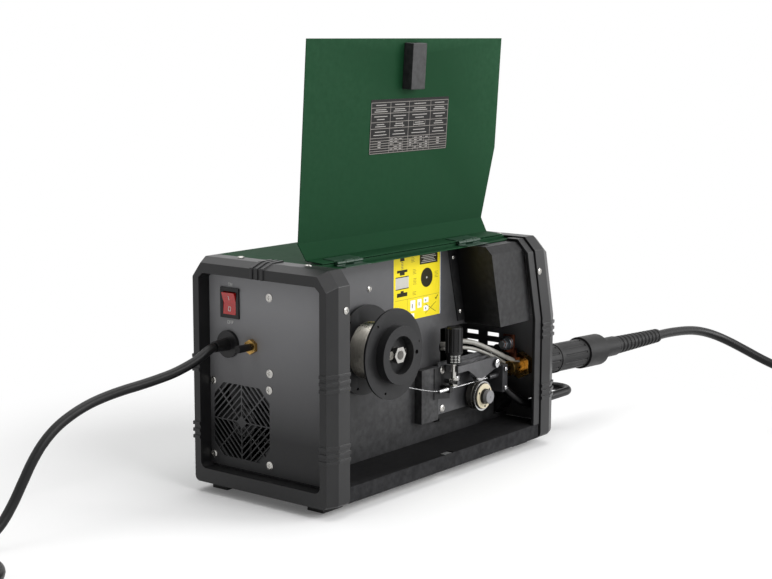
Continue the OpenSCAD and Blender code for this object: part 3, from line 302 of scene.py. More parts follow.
class ShaderKit:
    """Builds the shared effects once and a material for each finish when it is first asked for."""

    def __init__(self) -> None:
        """Makes the groups for the grain, the rubbed edges with their painted highlights and the dust on
        what faces up.
        """
        self.made: dict[str, bpy.types.Material] = {}
        self.grain = self._grain()
        # Edge mask: rubbed edges, and edges painted as catching the light.
        self.edge_wear_and_highlight = self._mask("EdgeWearAndHighlight", "Pointiness", (0.52, 0.62), 160, 2)
        self.dust = self._mask("Dust", "Normal", (0.35, 1.0), 45, 6)

    @staticmethod
    def _grain() -> bpy.types.NodeTree:
        """Noise in two sizes by place on the machine: fine grain as a height, slow clouds as a mottle.

        Returns:
            The group.
        """
        graph = Graph.group("Grain", "ShaderNodeTree", {"Scale": "Float", "Stretch": "Vector"},
                            {"Height": "Float", "Mottle": "Float"})
        scale = graph.taken("Scale")
        place = graph.math("MULTIPLY", graph.place(), graph.taken("Stretch"), "ShaderNodeVectorMath")
        slow = graph.noise(place, graph.math("MULTIPLY", scale, 0.028), 4, 0.65)
        return graph.give({"Height": graph.noise(place, scale, 3), "Mottle": slow})

    @staticmethod
    def _mask(name: str, source: str, rise: Pair, scale: float, detail: float) -> bpy.types.NodeTree:
        """Mask of where a value of the surface is high, broken up by noise.

        Args:
            name: Name of the group.
            source: Pointiness, or Normal for its part along Z.
            rise: Values between which the mask rises.
            scale: Scale of the noise.
            detail: Detail of the noise.

        Returns:
            The group.
        """
        graph = Graph.group(name, "ShaderNodeTree", {"Amount": "Float"}, {"Mask": "Float"})
        value = graph.add("ShaderNodeNewGeometry").outputs[source]
        if source == "Normal":
            value = graph.along(value, "Z")
        mask = graph.math("MULTIPLY", graph.span(value, *rise), graph.noise(graph.place(), scale, detail))
        return graph.give({"Mask": graph.math("MULTIPLY", mask, graph.taken("Amount"))})

    def material(self, look: Look) -> bpy.types.Material:
        """Gives the material of a finish.

        Args:
            look: The finish.

        Returns:
            A material whose colour, roughness and relief wander over the surface.
        """
        if look.name in self.made:
            return self.made[look.name]
        finish: Finish = look.value
        made = bpy.data.materials.new(look.name.lower())
        made.use_nodes = True
        graph = Graph(made.node_tree)
        feeds = {"Scale": finish.grain, "Stretch": finish.stretch}
        grain = graph.add("ShaderNodeGroup", feeds, node_tree=self.grain)
        mottle = grain.outputs["Mottle"]
        colour = graph.mix(mottle, linear(finish.colour), linear(finish.mottle))
        # Painted shade: the colour is scaled down towards the floor and towards the front where the finish
        # asks for it.
        for axis, span, shade_shares in (("Z", PAINTED_SHADE_HEIGHTS, (finish.low, 1)), ("X", PAINTED_SHADE_PLACES, (1, finish.ahead))):
            if min(shade_shares) < 1:
                share = graph.span(graph.along(graph.place(), axis), *span, *shade_shares)
                scaled = graph.add("ShaderNodeVectorMath", {0: colour, "Scale": share}, operation="SCALE")
                colour = scaled.outputs[0]
        # Edges take the edge colour as rubbing and, on the box and cast parts, as painted highlight; upward
        # faces take dust.
        for tree, amount, over in ((self.edge_wear_and_highlight, finish.worn_and_highlight, finish.worn_and_highlight_colour),
                                   (self.dust, finish.dust, DUST)):
            if amount:
                mask = graph.add("ShaderNodeGroup", {"Amount": amount}, node_tree=tree).outputs["Mask"]
                colour = graph.mix(mask, colour, linear(over))
        smooth, rough = finish.roughness - finish.spread, finish.roughness + finish.spread
        gloss = graph.span(mottle, *MOTTLED, smooth, rough)
        shader = graph.feed(graph.tree.nodes["Principled BSDF"], {
            "Base Color": colour, "Roughness": gloss, "Metallic": finish.metallic,
            "Coat Weight": finish.coat, "Specular IOR Level": finish.specular})
        if finish.relief:
            feeds = {"Distance": finish.relief, "Height": grain.outputs["Height"]}
            graph.feed(shader, {"Normal": graph.add("ShaderNodeBump", feeds).outputs["Normal"]})
        self.made[look.name] = made
        return made

    def printed(self, look: Look) -> bpy.types.Material:
        """Gives the material of a printed surface, whose colour is the attribute "ink" of its mesh.

        Args:
            look: The finish that the print is on.

        Returns:
            The material.
        """
        name = look.name + "_printed"
        if name not in self.made:
            made = self.material(look).copy()
            made.name = name.lower()
            graph = Graph(made.node_tree)
            grain = next(n for n in graph.tree.nodes if n.type == "GROUP" and n.node_tree == self.grain)
            ink = graph.add("ShaderNodeAttribute", attribute_name="ink").outputs["Color"]
            shade = graph.span(grain.outputs["Mottle"], 0, 1, 0.9, 1)
            ink = graph.mix(1.0, ink, shade, blend_type="MULTIPLY")
            graph.feed(graph.tree.nodes["Principled BSDF"], {"Base Color": ink})
            self.made[name] = made
        return self.made[name]


# Shapes ---------------------------------------------------------------------------------------------


@dataclass(frozen=True)
class Form:
    """Points and faces of a surface.

    Attributes:
        points: One row of x, y and z for each point.
        faces: For each face, the numbers of its points.
    """

    points: np.ndarray
    faces: list[tuple[int, ...]]

    def __add__(self, other: Form) -> Form:
        """Both surfaces as one.

        Args:
            other: The other surface.

        Returns:
            The surface of both.
        """
        shift = len(self.points)
        return Form(np.vstack([self.points, other.points]),
                    self.faces + [tuple(i + shift for i in face) for face in other.faces])


NOTHING = Form(np.zeros((0, 3)), [])


def metres(*points: Point) -> list[Point]:
    """Points given in millimetres, in metres."""
    return [tuple(round(value / 1000, 7) for value in point) for point in points]


def unit(vectors: np.ndarray) -> np.ndarray:
    """Vectors scaled to a length of 1."""
    return vectors / np.linalg.norm(vectors, axis=-1, keepdims=True)


def grid_faces(rings: int, sides: int, round_trip: bool = False) -> list[tuple[int, ...]]:
    """Quads between rings of points, each ring closed on itself.

    Args:
        rings: Number of rings.
        sides: Points of a ring.
        round_trip: Whether the last ring joins the first.

    Returns:
        The quads.
    """
    ring, side = np.meshgrid(np.arange(rings if round_trip else rings - 1), np.arange(sides), indexing="ij")
    after, beside = (ring + 1) % rings, (side + 1) % sides
    corners = (ring * sides + side, ring * sides + beside, after * sides + beside, after * sides + side)
    return [tuple(quad) for quad in np.stack(corners, -1).reshape(-1, 4).tolist()]


def caps(rings: int, sides: int) -> list[tuple[int, ...]]:
    """Faces that close the first and the last ring."""
    return [tuple(range(sides - 1, -1, -1)), tuple(range((rings - 1) * sides, rings * sides))]


def tube(path: np.ndarray, radius: float | np.ndarray, sides: int = 12, side: Point = (0, 0, 1)) -> Form:
    """Round tube: each ring is the path's point plus radius times cosine and sine on two normals to it.

    Args:
        path: Points of the centreline.
        radius: Radius, or one for each point.
        sides: Points of a ring.
        side: Direction that the path never takes.

    Returns:
        The closed tube.
    """
    along = unit(np.gradient(path, axis=0))
    across = unit(np.cross(along, np.array(side, float)))
    over = np.cross(along, across)
    turn = np.linspace(0, 2 * np.pi, sides, endpoint=False)
    wide = np.broadcast_to(radius, len(path))[:, None, None]
    spoke = np.cos(turn)[None, :, None] * across[:, None] + np.sin(turn)[None, :, None] * over[:, None]
    rings = path[:, None] + wide * spoke
    return Form(rings.reshape(-1, 3), grid_faces(len(path), sides) + caps(len(path), sides))


def lathe(profile: np.ndarray, start: Point, along: Point, sides: int = 64, hollow: bool = False) -> Form:
    """Turned piece: each point of the profile, as distance along the axis and radius, goes round the axis.

    Args:
        profile: Rows of distance and radius.
        start: Point of the axis at distance 0.
        along: Direction of the axis.
        sides: Points of a ring.
        hollow: Whether the profile closes on itself round a bore.

    Returns:
        The closed surface.
    """
    axis = unit(np.array(along, float))
    across = unit(np.cross(axis, [0.31, 0.22, 0.93]))
    over = np.cross(axis, across)
    turn = np.linspace(0, 2 * np.pi, sides, endpoint=False)
    spoke = np.cos(turn)[:, None] * across + np.sin(turn)[:, None] * over
    rows = np.array(profile, float)
    points = np.array(start) + rows[:, None, :1] * axis + rows[:, None, 1:] * spoke[None]
    faces = grid_faces(len(rows), sides, hollow) + ([] if hollow else caps(len(rows), sides))
    return Form(points.reshape(-1, 3), faces)


def slab(outline: np.ndarray, origin: Point, right: Point, up: Point, thick: float) -> Form:
    """Flat piece: an outline in the plane of two directions, carried along their cross product.

    Args:
        outline: Rows of distance to the right and up.
        origin: Point of the plane at 0, 0.
        right: First direction.
        up: Second direction.
        thick: Thickness.

    Returns:
        The closed piece.
    """
    across, over = unit(np.array(right, float)), unit(np.array(up, float))
    base = np.array(origin) + outline[:, :1] * across + outline[:, 1:] * over
    points = np.vstack([base, base + thick * np.cross(across, over)])
    return Form(points, grid_faces(2, len(outline)) + caps(2, len(outline)))


def ring_profile(*steps: Pair) -> np.ndarray:
    """Profile of a solid turned piece: the steps in millimetres, and a point near the axis at the top."""
    return np.array([*steps, (steps[-1][0], 0.3)]) / 1000


def ring_of(count: int, radius: float, start: float = 0.0) -> np.ndarray:
    """Corners of a regular outline: the radius times cosine and sine of equal steps."""
    turn = np.radians(start) + np.arange(count) * 2 * np.pi / count
    return radius * np.stack([np.cos(turn), np.sin(turn)], -1)


def rectangle(x0: float, y0: float, x1: float, y1: float) -> np.ndarray:
    """Corners of a rectangle, counterclockwise."""
    return np.array([[x0, y0], [x1, y0], [x1, y1], [x0, y1]])


def stroke(start: Pair, end: Pair, wide: float) -> np.ndarray:
    """Corners of a straight stroke of a pen, half the pen longer than its line at both ends.

    Args:
        start: Start of the line.
        end: End of the line.
        wide: Width of the pen.

    Returns:
        The four corners.
    """
    a, b = np.array(start, float), np.array(end, float)
    ahead = unit(b - a) * wide / 2
    side = np.array([-ahead[1], ahead[0]])
    return np.array([a - ahead - side, b + ahead - side, b + ahead + side, a - ahead + side])


LETTERS: dict[str, list[tuple[Pair, Pair]]] = {
    "O": [((0, 0), (0, 1)), ((0, 1), (0.7, 1)), ((0.7, 1), (0.7, 0)), ((0.7, 0), (0, 0))],
    "N": [((0, 0), (0, 1)), ((0, 1), (0.7, 0)), ((0.7, 0), (0.7, 1))],
    "F": [((0, 0), (0, 1)), ((0, 1), (0.65, 1)), ((0, 0.52), (0.5, 0.52))],
    "I": [((0.35, 0), (0.35, 1))],
}


def word(text: str, middle: Pair, high: float) -> list[np.ndarray]:
    """Strokes of a short word, set about its middle.

    Args:
        text: Letters that LETTERS holds.
        middle: Middle of the word.
        high: Height of its letters.

    Returns:
        Outline of each stroke.
    """
    shift = np.array(middle) - high * np.array([0.35 + 0.525 * (len(text) - 1), 0.5])
    lines = [np.array(line) + [1.05 * k, 0] for k, letter in enumerate(text) for line in LETTERS[letter]]
    return [stroke(*(shift + high * line), 0.15 * high) for line in lines]


def smooth_path(points: list[Point] | np.ndarray, steps: int = 6) -> np.ndarray:
    """Curve through points: between two, the cubic with slopes of half the step between neighbours.

    Args:
        points: The points, in order.
        steps: Parts between two of them.

    Returns:
        Points of the curve, with the first and the last of those given.
    """
    knots = np.array(points, float)
    padded = np.vstack([2 * knots[0] - knots[1], knots, 2 * knots[-1] - knots[-2]])
    a, b, c, d = padded[:-3], padded[1:-2], padded[2:-1], padded[3:]
    t = (np.arange(steps) / steps)[None, :, None]
    a, b, c, d = a[:, None], b[:, None], c[:, None], d[:, None]
    curve = 0.5 * (2 * b + (c - a) * t + (2 * a - 5 * b + 4 * c - d) * t**2 + (3 * b - a - 3 * c + d) * t**3)
    return np.vstack([curve.reshape(-1, 3), knots[-1:]])


def smoothing(limit: float) -> bpy.types.NodeTree:
    """Geometry nodes that shade faces smooth and leave the edges sharper than a limit sharp.

    Args:
        limit: The limit in degrees.

    Returns:
        The node group, which is made once for each limit.
    """
    name = f"SmoothBelow{limit:.0f}"
    if name in bpy.data.node_groups:
        return bpy.data.node_groups[name]
    graph = Graph.group(name, "GeometryNodeTree", {"Geometry": "Geometry"}, {"Shaded": "Geometry"})
    angle = graph.add("GeometryNodeInputMeshEdgeAngle").outputs["Unsigned Angle"]
    flat = graph.math("LESS_THAN", angle, math.radians(limit))
    shape = graph.add("GeometryNodeSetShadeSmooth", {"Geometry": graph.taken("Geometry")}).outputs[0]
    shape = graph.add("GeometryNodeSetShadeSmooth", {"Geometry": shape, "Shade Smooth": flat}, domain="EDGE")
    return graph.give({"Shaded": shape.outputs[0]})


def soften(piece: bpy.types.Object, bevel: float, limit: float = SMOOTH_BELOW) -> None:
    """Rounds a piece's sharp edges and shades it: doubles merge, flat parts join, edges get a bevel.

    Args:
        piece: The piece.
        bevel: Width of the rounding in metres, or 0 for none.
        limit: Angle in degrees above which an edge is sharp.
    """
    weld = piece.modifiers.new("merge", "WELD")
    weld.merge_threshold = 1e-6
    if bevel:
        join = piece.modifiers.new("join", "DECIMATE")
        join.decimate_type, join.angle_limit = "DISSOLVE", math.radians(0.6)
        edge = piece.modifiers.new("edge", "BEVEL")
        edge.width, edge.segments, edge.limit_method = bevel, 2, "ANGLE"
        edge.angle_limit, edge.miter_outer = math.radians(limit), "MITER_SHARP"
    shade = piece.modifiers.new("shade", "NODES")
    shade.node_group = smoothing(max(limit, SMOOTH_BELOW) if bevel else limit)
    if bevel:
        even = piece.modifiers.new("even", "WEIGHTED_NORMAL")
        even.keep_sharp = True


@dataclass(frozen=True)
class Patch:
    """A flat patch of one ink.

    Attributes:
        outline: Its corners.
        ink: Its colour.
        layer: How many layers lie under it.
    """

    outline: np.ndarray
    ink: Colour
    layer: int = 1


@dataclass
class Sheet:
    """Drawing in patches of ink, whose measures are given in millimetres from its lower left corner.

    Attributes:
        patches: What is drawn so far, in metres.
    """

    patches: list[Patch] = field(default_factory=list)

    def add(self, outline: np.ndarray, ink: Colour, layer: int = 1) -> None:
        """Adds a patch by its outline."""
        self.patches.append(Patch(outline / 1000, ink, layer))

    def box(self, x0: float, y0: float, x1: float, y1: float, ink: Colour, layer: int = 1) -> None:
        """Adds a rectangle by two of its corners."""
        self.add(rectangle(x0, y0, x1, y1), ink, layer)


class Workshop:
    """Makes pieces and puts finishes on them.

    Attributes:
        kit: The shaders.
    """

    def __init__(self, frame: dict) -> None:
        """Takes the loaded frame."""
        self.kit = ShaderKit()
        self.frame = frame

    def dress(self, node: str, look: Look, bevel: float = 0.0004, limit: float = SMOOTH_BELOW
              ) -> bpy.types.Object:
        """Gives a CAD node its finish and rounds its edges.

        Args:
            node: Name of the node.
            look: Its finish.
            bevel: Width of the rounding in metres.
            limit: Angle in degrees above which an edge is sharp.

        Returns:
            The node's object.
        """
        piece = self.frame["nodes"][node]
        piece.data.materials.clear()
        piece.data.materials.append(self.kit.material(look))
        soften(piece, bevel, limit)
        log.info("dressed %s in %s", node, look.name.lower())
        return piece

    def build(self, name: str, form: Form, look: Look, body: str = "machine", bevel: float = 0.0,
              stands_for: tuple[str, ...] = ()) -> bpy.types.Object:
        """Makes a piece from a surface, in place, and lets it ride on a body.

        Args:
            name: Name of the piece.
            form: Its surface.
            look: Its finish.
            body: The CAD body that it moves with.
            bevel: Width of the rounding in metres.
            stands_for: CAD nodes that it replaces.

        Returns:
            The piece.
        """
        mesh = bpy.data.meshes.new(name)
        mesh.from_pydata(form.points.tolist(), [], form.faces)
        mesh.materials.append(self.kit.material(look))
        piece = bpy.data.objects.new(name, mesh)
        bpy.context.scene.collection.objects.link(piece)
        self._outward(mesh)
        soften(piece, bevel)
        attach(piece, body)
        if stands_for:
            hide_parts(*stands_for)
        log.info("made %s, %d faces", name, len(form.faces))
        return piece

    def print_on(self, name: str, patches: list[Patch], origin: Point, right: Point, up: Point, look: Look,
                 body: str = "machine") -> bpy.types.Object:
        """Makes a printed sheet or print from patches of ink, each a hair thicker than the layer below it.

        Args:
            name: Name of the piece.
            patches: The patches, in the plane's own measures.
            origin: Point of the plane at 0, 0.
            right: First direction of the plane.
            up: Second direction of the plane.
            look: Finish of the sheet.
            body: The CAD body that it moves with.

        Returns:
            The piece.
        """
        form, inks = NOTHING, []
        for patch in patches:
            part = slab(patch.outline, origin, right, up, PAPER + INK * patch.layer)
            form = form + part
            inks += [linear(patch.ink)] * sum(len(face) for face in part.faces)
        piece = self.build(name, form, look, body)
        mesh = piece.data
        mesh.materials.clear()
        mesh.materials.append(self.kit.printed(look))
        mesh.color_attributes.new("ink", "FLOAT_COLOR", "CORNER").data.foreach_set("color", np.ravel(inks))
        return piece

    @staticmethod
    def _outward(mesh: bpy.types.Mesh) -> None:
        """Turns a mesh's faces outwards.

        Args:
            mesh: The mesh.
        """
        import bmesh

        work = bmesh.new()
        work.from_mesh(mesh)
        bmesh.ops.recalc_face_normals(work, faces=work.faces)
        work.to_mesh(mesh)
        work.free()


# Studio ---------------------------------------------------------------------------------------------


@dataclass
class Lamp:
    """A soft lamp.

    Attributes:
        place: Where it stands.
        size: Width and height of its panel.
        power: Watts.
        aim: Point that it looks at.
    """

    place: Point
    size: Pair
    power: float
    aim: Point = (0.0, 0.0, 0.12)


@dataclass
class Studio:
    """Camera, pale floor, white surround and soft lamps.

    Attributes:
        camera_place: Where the camera stands.
        azimuth: Way that it looks, in degrees from +Y towards -X.
        elevation: Degrees by which it looks down.
        roll: Degrees by which it leans.
        lens: Focal length for a sensor 36 mm wide.
        lamps: The lamps.
        ambient: Strength of the surround as light.
        floor_half: Half the width of the floor.
        floor_z: Height of the floor, a hair below the feet.
        floor_glow: Strength that the floor adds to its own colour for the camera.
        fade: Distances between which the floor fades to white.
    """

    camera_place: Point = (-1.4378, -1.139, 0.4991)
    azimuth: float = -51.69
    elevation: float = 9.04
    roll: float = 0.18
    lens: float = 75.29
    ambient: float = 0.22
    floor_half: float = 9.0
    floor_z: float = -0.0005
    floor_glow: float = 0.09
    fade: Pair = (0.3, 0.62)
    lamps: list[Lamp] = field(default_factory=lambda: [
        Lamp((1.7, -2.2, 0.9), (1.6, 1.6), 66.0), Lamp((-0.2, -2.6, 1.9), (1.8, 1.2), 42.0),
        Lamp((-2.2, 0.9, 2.3), (1.6, 1.6), 8.0), Lamp((0.3, 0.2, 2.8), (2.6, 2.6), 46.0)])

    def camera(self) -> None:
        """Makes the camera: its axes are the view direction, the level right and their cross, rolled."""
        az, el, roll = map(math.radians, (self.azimuth, self.elevation, self.roll))
        ahead = Vector((-math.sin(az) * math.cos(el), math.cos(az) * math.cos(el), -math.sin(el)))
        level = ahead.cross(Vector((0, 0, 1))).normalized()
        plumb = level.cross(ahead)
        right = level * math.cos(roll) + plumb * math.sin(roll)
        above = plumb * math.cos(roll) - level * math.sin(roll)
        data = bpy.data.cameras.new("camera")
        data.lens, data.sensor_width, data.sensor_fit = self.lens, 36.0, "HORIZONTAL"
        data.clip_start, data.clip_end = 0.01, 100.0
        camera = bpy.data.objects.new("camera", data)
        bpy.context.scene.collection.objects.link(camera)
        camera.matrix_world = Matrix.Translation(self.camera_place) @ Matrix(
            (right, above, -ahead)).transposed().to_4x4()
        bpy.context.scene.camera = camera

    def surround(self) -> None:
        """Makes the world, white where it is seen or mirrored and dimmer as light."""
        world = bpy.data.worlds.new("surround")
        bpy.context.scene.world = world
        world.use_nodes = True
        graph = Graph(world.node_tree)
        strength = graph.span(self._seen(graph), 0, 1, self.ambient, 1)
        graph.feed(world.node_tree.nodes["Background"], {"Color": WHITE, "Strength": strength})

    @staticmethod
    def _seen(graph: Graph) -> Socket:
        """Mask that is 1 for what the camera sees, straight or through a mirror or glass.

        Args:
            graph: The graph that it is drawn in.

        Returns:
            Socket of the mask.
        """
        path = graph.add("ShaderNodeLightPath").outputs
        near = graph.math("MAXIMUM", path["Is Camera Ray"], path["Is Glossy Ray"])
        return graph.math("MAXIMUM", near, path["Is Transmission Ray"])

    def floor(self) -> None:
        """Makes the floor, which keeps the machine's shadow and fades to white where it is seen far off."""
        mesh = bpy.data.meshes.new("floor")
        corners = rectangle(-self.floor_half, -self.floor_half, self.floor_half, self.floor_half)
        mesh.from_pydata([(x, y, self.floor_z) for x, y in corners.tolist()], [], [(0, 1, 2, 3)])
        floor = bpy.data.objects.new("floor", mesh)
        bpy.context.scene.collection.objects.link(floor)
        paint = bpy.data.materials.new("floor_white")
        paint.use_nodes = True
        graph = Graph(paint.node_tree)
        seen = self._seen(graph)
        shader = graph.feed(paint.node_tree.nodes["Principled BSDF"], {
            "Base Color": (0.9, 0.9, 0.9, 1), "Roughness": 1.0, "Specular IOR Level": 0.0,
            "Emission Color": WHITE, "Emission Strength": graph.math("MULTIPLY", seen, self.floor_glow)})
        far = graph.add("ShaderNodeVectorMath", {0: graph.place()}, operation="LENGTH").outputs["Value"]
        mask = graph.math("MULTIPLY", graph.span(far, *self.fade, interpolation_type="SMOOTHSTEP"), seen)
        white = graph.add("ShaderNodeEmission").outputs["Emission"]
        blend = graph.add("ShaderNodeMixShader", {"Fac": mask, 1: shader.outputs["BSDF"], 2: white})
        graph.feed(paint.node_tree.nodes["Material Output"], {"Surface": blend.outputs["Shader"]})
        mesh.materials.append(paint)

    def light(self) -> None:
        """Makes the lamps."""
        for number, lamp in enumerate(self.lamps):
            data = bpy.data.lights.new(f"lamp_{number}", "AREA")
            data.shape, data.size, data.size_y, data.energy = "RECTANGLE", *lamp.size, lamp.power
            held = bpy.data.objects.new(f"lamp_{number}", data)
            bpy.context.scene.collection.objects.link(held)
            held.location = lamp.place
            held.rotation_euler = (Vector(lamp.place) - Vector(lamp.aim)).to_track_quat("Z", "Y").to_euler()

    def make(self) -> None:
        """Sets up the whole studio."""
        bpy.context.scene.view_settings.view_transform = "Standard"
        self.camera()
        self.surround()
        self.floor()
        self.light()


# Leads ----------------------------------------------------------------------------------------------


@dataclass
class Assembly:
    """A part of the machine whose pieces are built and dressed together.

    Attributes:
        shop: The workshop that makes them.
    """

    shop: Workshop

    def dress(self, finishes: dict[str, tuple[Look, float]]) -> None:
        """Dresses CAD nodes, each in its finish and with its width of rounding."""
        for node, (look, bevel) in finishes.items():
            self.shop.dress(node, look, bevel)


@dataclass(frozen=True)
class Coil:
    """A round coil in two layers, wound in on the floor and out again on top.

    Attributes:
        outer: Diameter of the cord.
        turns: Number of turns.
        middle: Radius of the middle of the turns.
        start: Angle at which it starts, in degrees.
        way: 1 for counterclockwise from above, -1 for clockwise.
        play: Gap between the turns.
    """

    outer: float
    turns: float
    middle: float
    start: float
    way: int
    play: float = 0.0009

    @property
    def radius(self) -> float:
        """Radius at which the cord comes in and goes out."""
        return self.middle + self.turns * (self.outer + self.play) / 4

    def points(self, centre: Pair, steps: int = 48) -> np.ndarray:
        """Works out the loops: the radius shrinks a steady step a turn and grows again from half way.

        Args:
            centre: Centre of the coil on the floor.
            steps: Points of a turn.

        Returns:
            Points of the centreline.
        """
        pitch = self.outer + self.play
        turn = np.arange(round(self.turns * steps) + 1) / steps
        reach = self.radius - pitch * np.minimum(turn, self.turns - turn)
        climb = np.clip(2 * (turn - self.turns / 2) + 0.5, 0, 1)
        angle = math.radians(self.start) + self.way * 2 * np.pi * turn
        return np.stack([centre[0] + reach * np.cos(angle), centre[1] + reach * np.sin(angle),
                         self.outer / 2 + pitch * climb**2 * (3 - 2 * climb)], -1)


@dataclass
class MainsLead(Assembly):
    """Mains cord with its coil, gland and plug.

    Attributes:
        outer: Diameter of the cord.
        turns: Turns of the coil.
        middle: Radius of the middle of the turns.
        coil_x: Middle of the coil along.
        side_y: Line along which the cord runs into its coil.
        tail: Straight run from the coil to the plug.
        plug_z: Height at which the cord enters the plug.
        route: Points from the gland down to the floor.
    """

    outer: float = 0.0104
    turns: float = 5.25
    middle: float = 0.047
    coil_x: float = -0.598
    side_y: float = 0.098
    tail: float = 0.054
    plug_z: float = 0.0194
    route: list[Point] = field(default_factory=lambda: metres(
        (-222, 56, 166), (-228, 56, 164.8), (-236, 56.5, 161), (-246, 58, 155.6), (-258, 61, 150.4),
        (-273, 66, 144.8), (-290, 72, 140.4), (-309, 77, 137), (-329, 82, 134), (-349, 86, 130.4),
        (-369, 89, 125.6), (-389, 91, 118.6), (-408, 93, 108.8), (-425, 94, 95.6), (-439, 95, 79),
        (-451, 96, 60), (-463, 97, 41), (-477, 97.5, 24.5), (-495, 98, 12.4), (-516, 98, 6),
        (-538, 98, 4.25), (-562, 98, 4.25), (-580, 98, 4.25)))

    def make(self) -> None:
        """Builds the cord as one tube and dresses its gland and its plug."""
        coil = Coil(self.outer, self.turns, self.middle, start=90, way=1)
        loops = coil.points((self.coil_x, self.side_y - coil.radius))
        climb = self.plug_z - loops[-1, 2]
        step = np.arange(1, 7) / 6
        tail = loops[-1] + np.stack([0 * step, -self.tail * step, climb * step**2 * (3 - 2 * step)], -1)
        last = loops[-1] + [0, -self.tail - self.outer, climb]
        lead_in = (self.coil_x + self.outer, self.side_y, self.outer / 2)
        path = np.vstack([smooth_path([*self.route, lead_in]), loops, tail, last])
        cord = self.shop.build("mains_lead", tube(path, self.outer / 2, 14), Look.CORD_BLACK,
                               stands_for=("mains_cord", "mains_coil"))
        plug = self.shop.dress("mains_plug", Look.PLASTIC_BLACK, 0.0008)
        self.shop.dress("mains_gland", Look.PLASTIC_BLACK, 0.0004)


@dataclass
class TorchLead(Assembly):
    """Torch connector, hose with its coil, and the torch at its end.

    Attributes:
        outer: Diameter of the hose.
        turns: Turns of the coil.
        middle: Radius of the middle of the turns.
        turn_x: How far out the hose swings before the coil.
        centre_y: Middle of the coil across.
        socket: Y and Z of the torch socket's axis at the panel.
        connector: Length of the connector, and degrees by which it falls.
        relief: Length of the strain relief, and degrees by which it falls.
        straight: Length over which the hose keeps the relief's direction.
        tail: Straight run from the coil to the torch's handle.
        route: Points from there down to the floor.
    """

    outer: float = 0.0127
    turns: float = 4.25
    middle: float = 0.064
    turn_x: float = 0.767
    centre_y: float = -0.262
    socket: Pair = (-0.064, 0.0966)
    connector: Pair = (0.2141, 2.6)
    relief: Pair = (0.121, 1.6)
    straight: float = 0.008
    tail: float = 0.042
    route: list[Point] = field(default_factory=lambda: metres(
        (560, -64.2, 82.8), (583, -64.8, 81.6), (610, -65.8, 79.4), (636, -68, 76), (660, -73, 70.6),
        (681, -82, 62.8), (698, -96, 52.6), (711, -114, 41), (721, -134, 29.6), (730, -156, 19.6),
        (741, -180, 12), (752, -202, 7.8), (761, -220, 6.35), (766, -233, 6.35), (767, -240, 6.35)))

    def make(self) -> None:
        """Builds the hose as one tube and dresses the torch and its strain relief."""
        drop = sum(long * math.sin(math.radians(fall)) for long, fall in (self.connector, self.relief))
        start = np.array([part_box("torch_hose")[0][0], self.socket[0], self.socket[1] - drop])
        lean = math.radians(self.relief[1])
        onward = start + self.straight * np.array([math.cos(lean), 0, -math.sin(lean)])
        coil = Coil(self.outer, self.turns, self.middle, start=0, way=-1)
        loops = coil.points((self.turn_x - coil.radius, self.centre_y))
        lead_in = (self.turn_x, self.centre_y + self.outer, self.outer / 2)
        free = smooth_path([start, onward, *self.route, lead_in])
        path = np.vstack([free, loops, loops[-1] - [self.outer, 0, 0], loops[-1] - [self.tail, 0, 0]])
        hose = self.shop.build("torch_lead", tube(path, self.outer / 2, 16), Look.CORD_BLACK,
                               stands_for=("torch_hose", "torch_coil"))
        handle = self.shop.dress("torch_handle", Look.PLASTIC_BLACK, 0.001)
        self.dress({
            "torch_trigger": (Look.ROCKER_RED, 0.0008), "torch_neck": (Look.COPPER, 0.0006),
            "torch_grip": (Look.RUBBER, 0.0006), "torch_relief": (Look.RUBBER, 0.0006)})


@dataclass
class PolarityLead(Assembly):
    """Short lead from the front panel back to the busbar.

    Attributes:
        outer: Diameter of the lead.
        panel_x: Front face of the panel.
        plug_y: Side offset of the plug.
        back_y: Side offset at which the lead goes back in.
        out: Distances from the panel of the points on its way out.
        reach: Distance from the panel at which its half circle starts and ends.
        back: Distances from the panel of the points on its way back.
        height: Height at which it leaves and comes back.
        inside: Points behind the panel.
    """

    outer: float = 0.0105
    panel_x: float = 0.198
    plug_y: float = 0.034
    back_y: float = 0.076
    out: Pair = (0.054, 0.062)
    reach: float = 0.076
    back: Point = (0.060, 0.030, 0.0)
    height: float = 0.050
    inside: list[Point] = field(default_factory=lambda: metres(
        (190, -75.4, 50.4), (182, -72, 53), (175, -66, 59), (169, -58.5, 67), (165, -52, 77),
        (163, -48.4, 88), (162.4, -47.4, 98), (161, -47.6, 107), (157.5, -49.5, 115), (153.5, -53, 120.5),
        (151.5, -55.6, 122.6)))

    def make(self) -> None:
        """Builds the lead: straight out of the plug, round in a half circle and back through the panel."""
        radius, middle = (self.back_y - self.plug_y) / 2, (self.back_y + self.plug_y) / 2
        turn = np.radians(np.linspace(90, -90, 25))
        bend = np.stack([self.panel_x + self.reach + radius * np.cos(turn), radius * np.sin(turn) - middle,
                         np.full(25, self.height)], -1)
        out = [(self.panel_x + x, -self.plug_y, self.height) for x in self.out]
        back = [(self.panel_x + x, -self.back_y, self.height) for x in self.back]
        path = smooth_path([*out, *bend, *back, *self.inside], 3)
        form = tube(path, self.outer / 2, 16, (0.35, 0.93, 0.1))
        lead = self.shop.build("polarity_cable", form, Look.CORD_BLACK, stands_for=("polarity_lead",))
        plug = self.shop.dress("polarity_plug", Look.RUBBER, 0.0005)


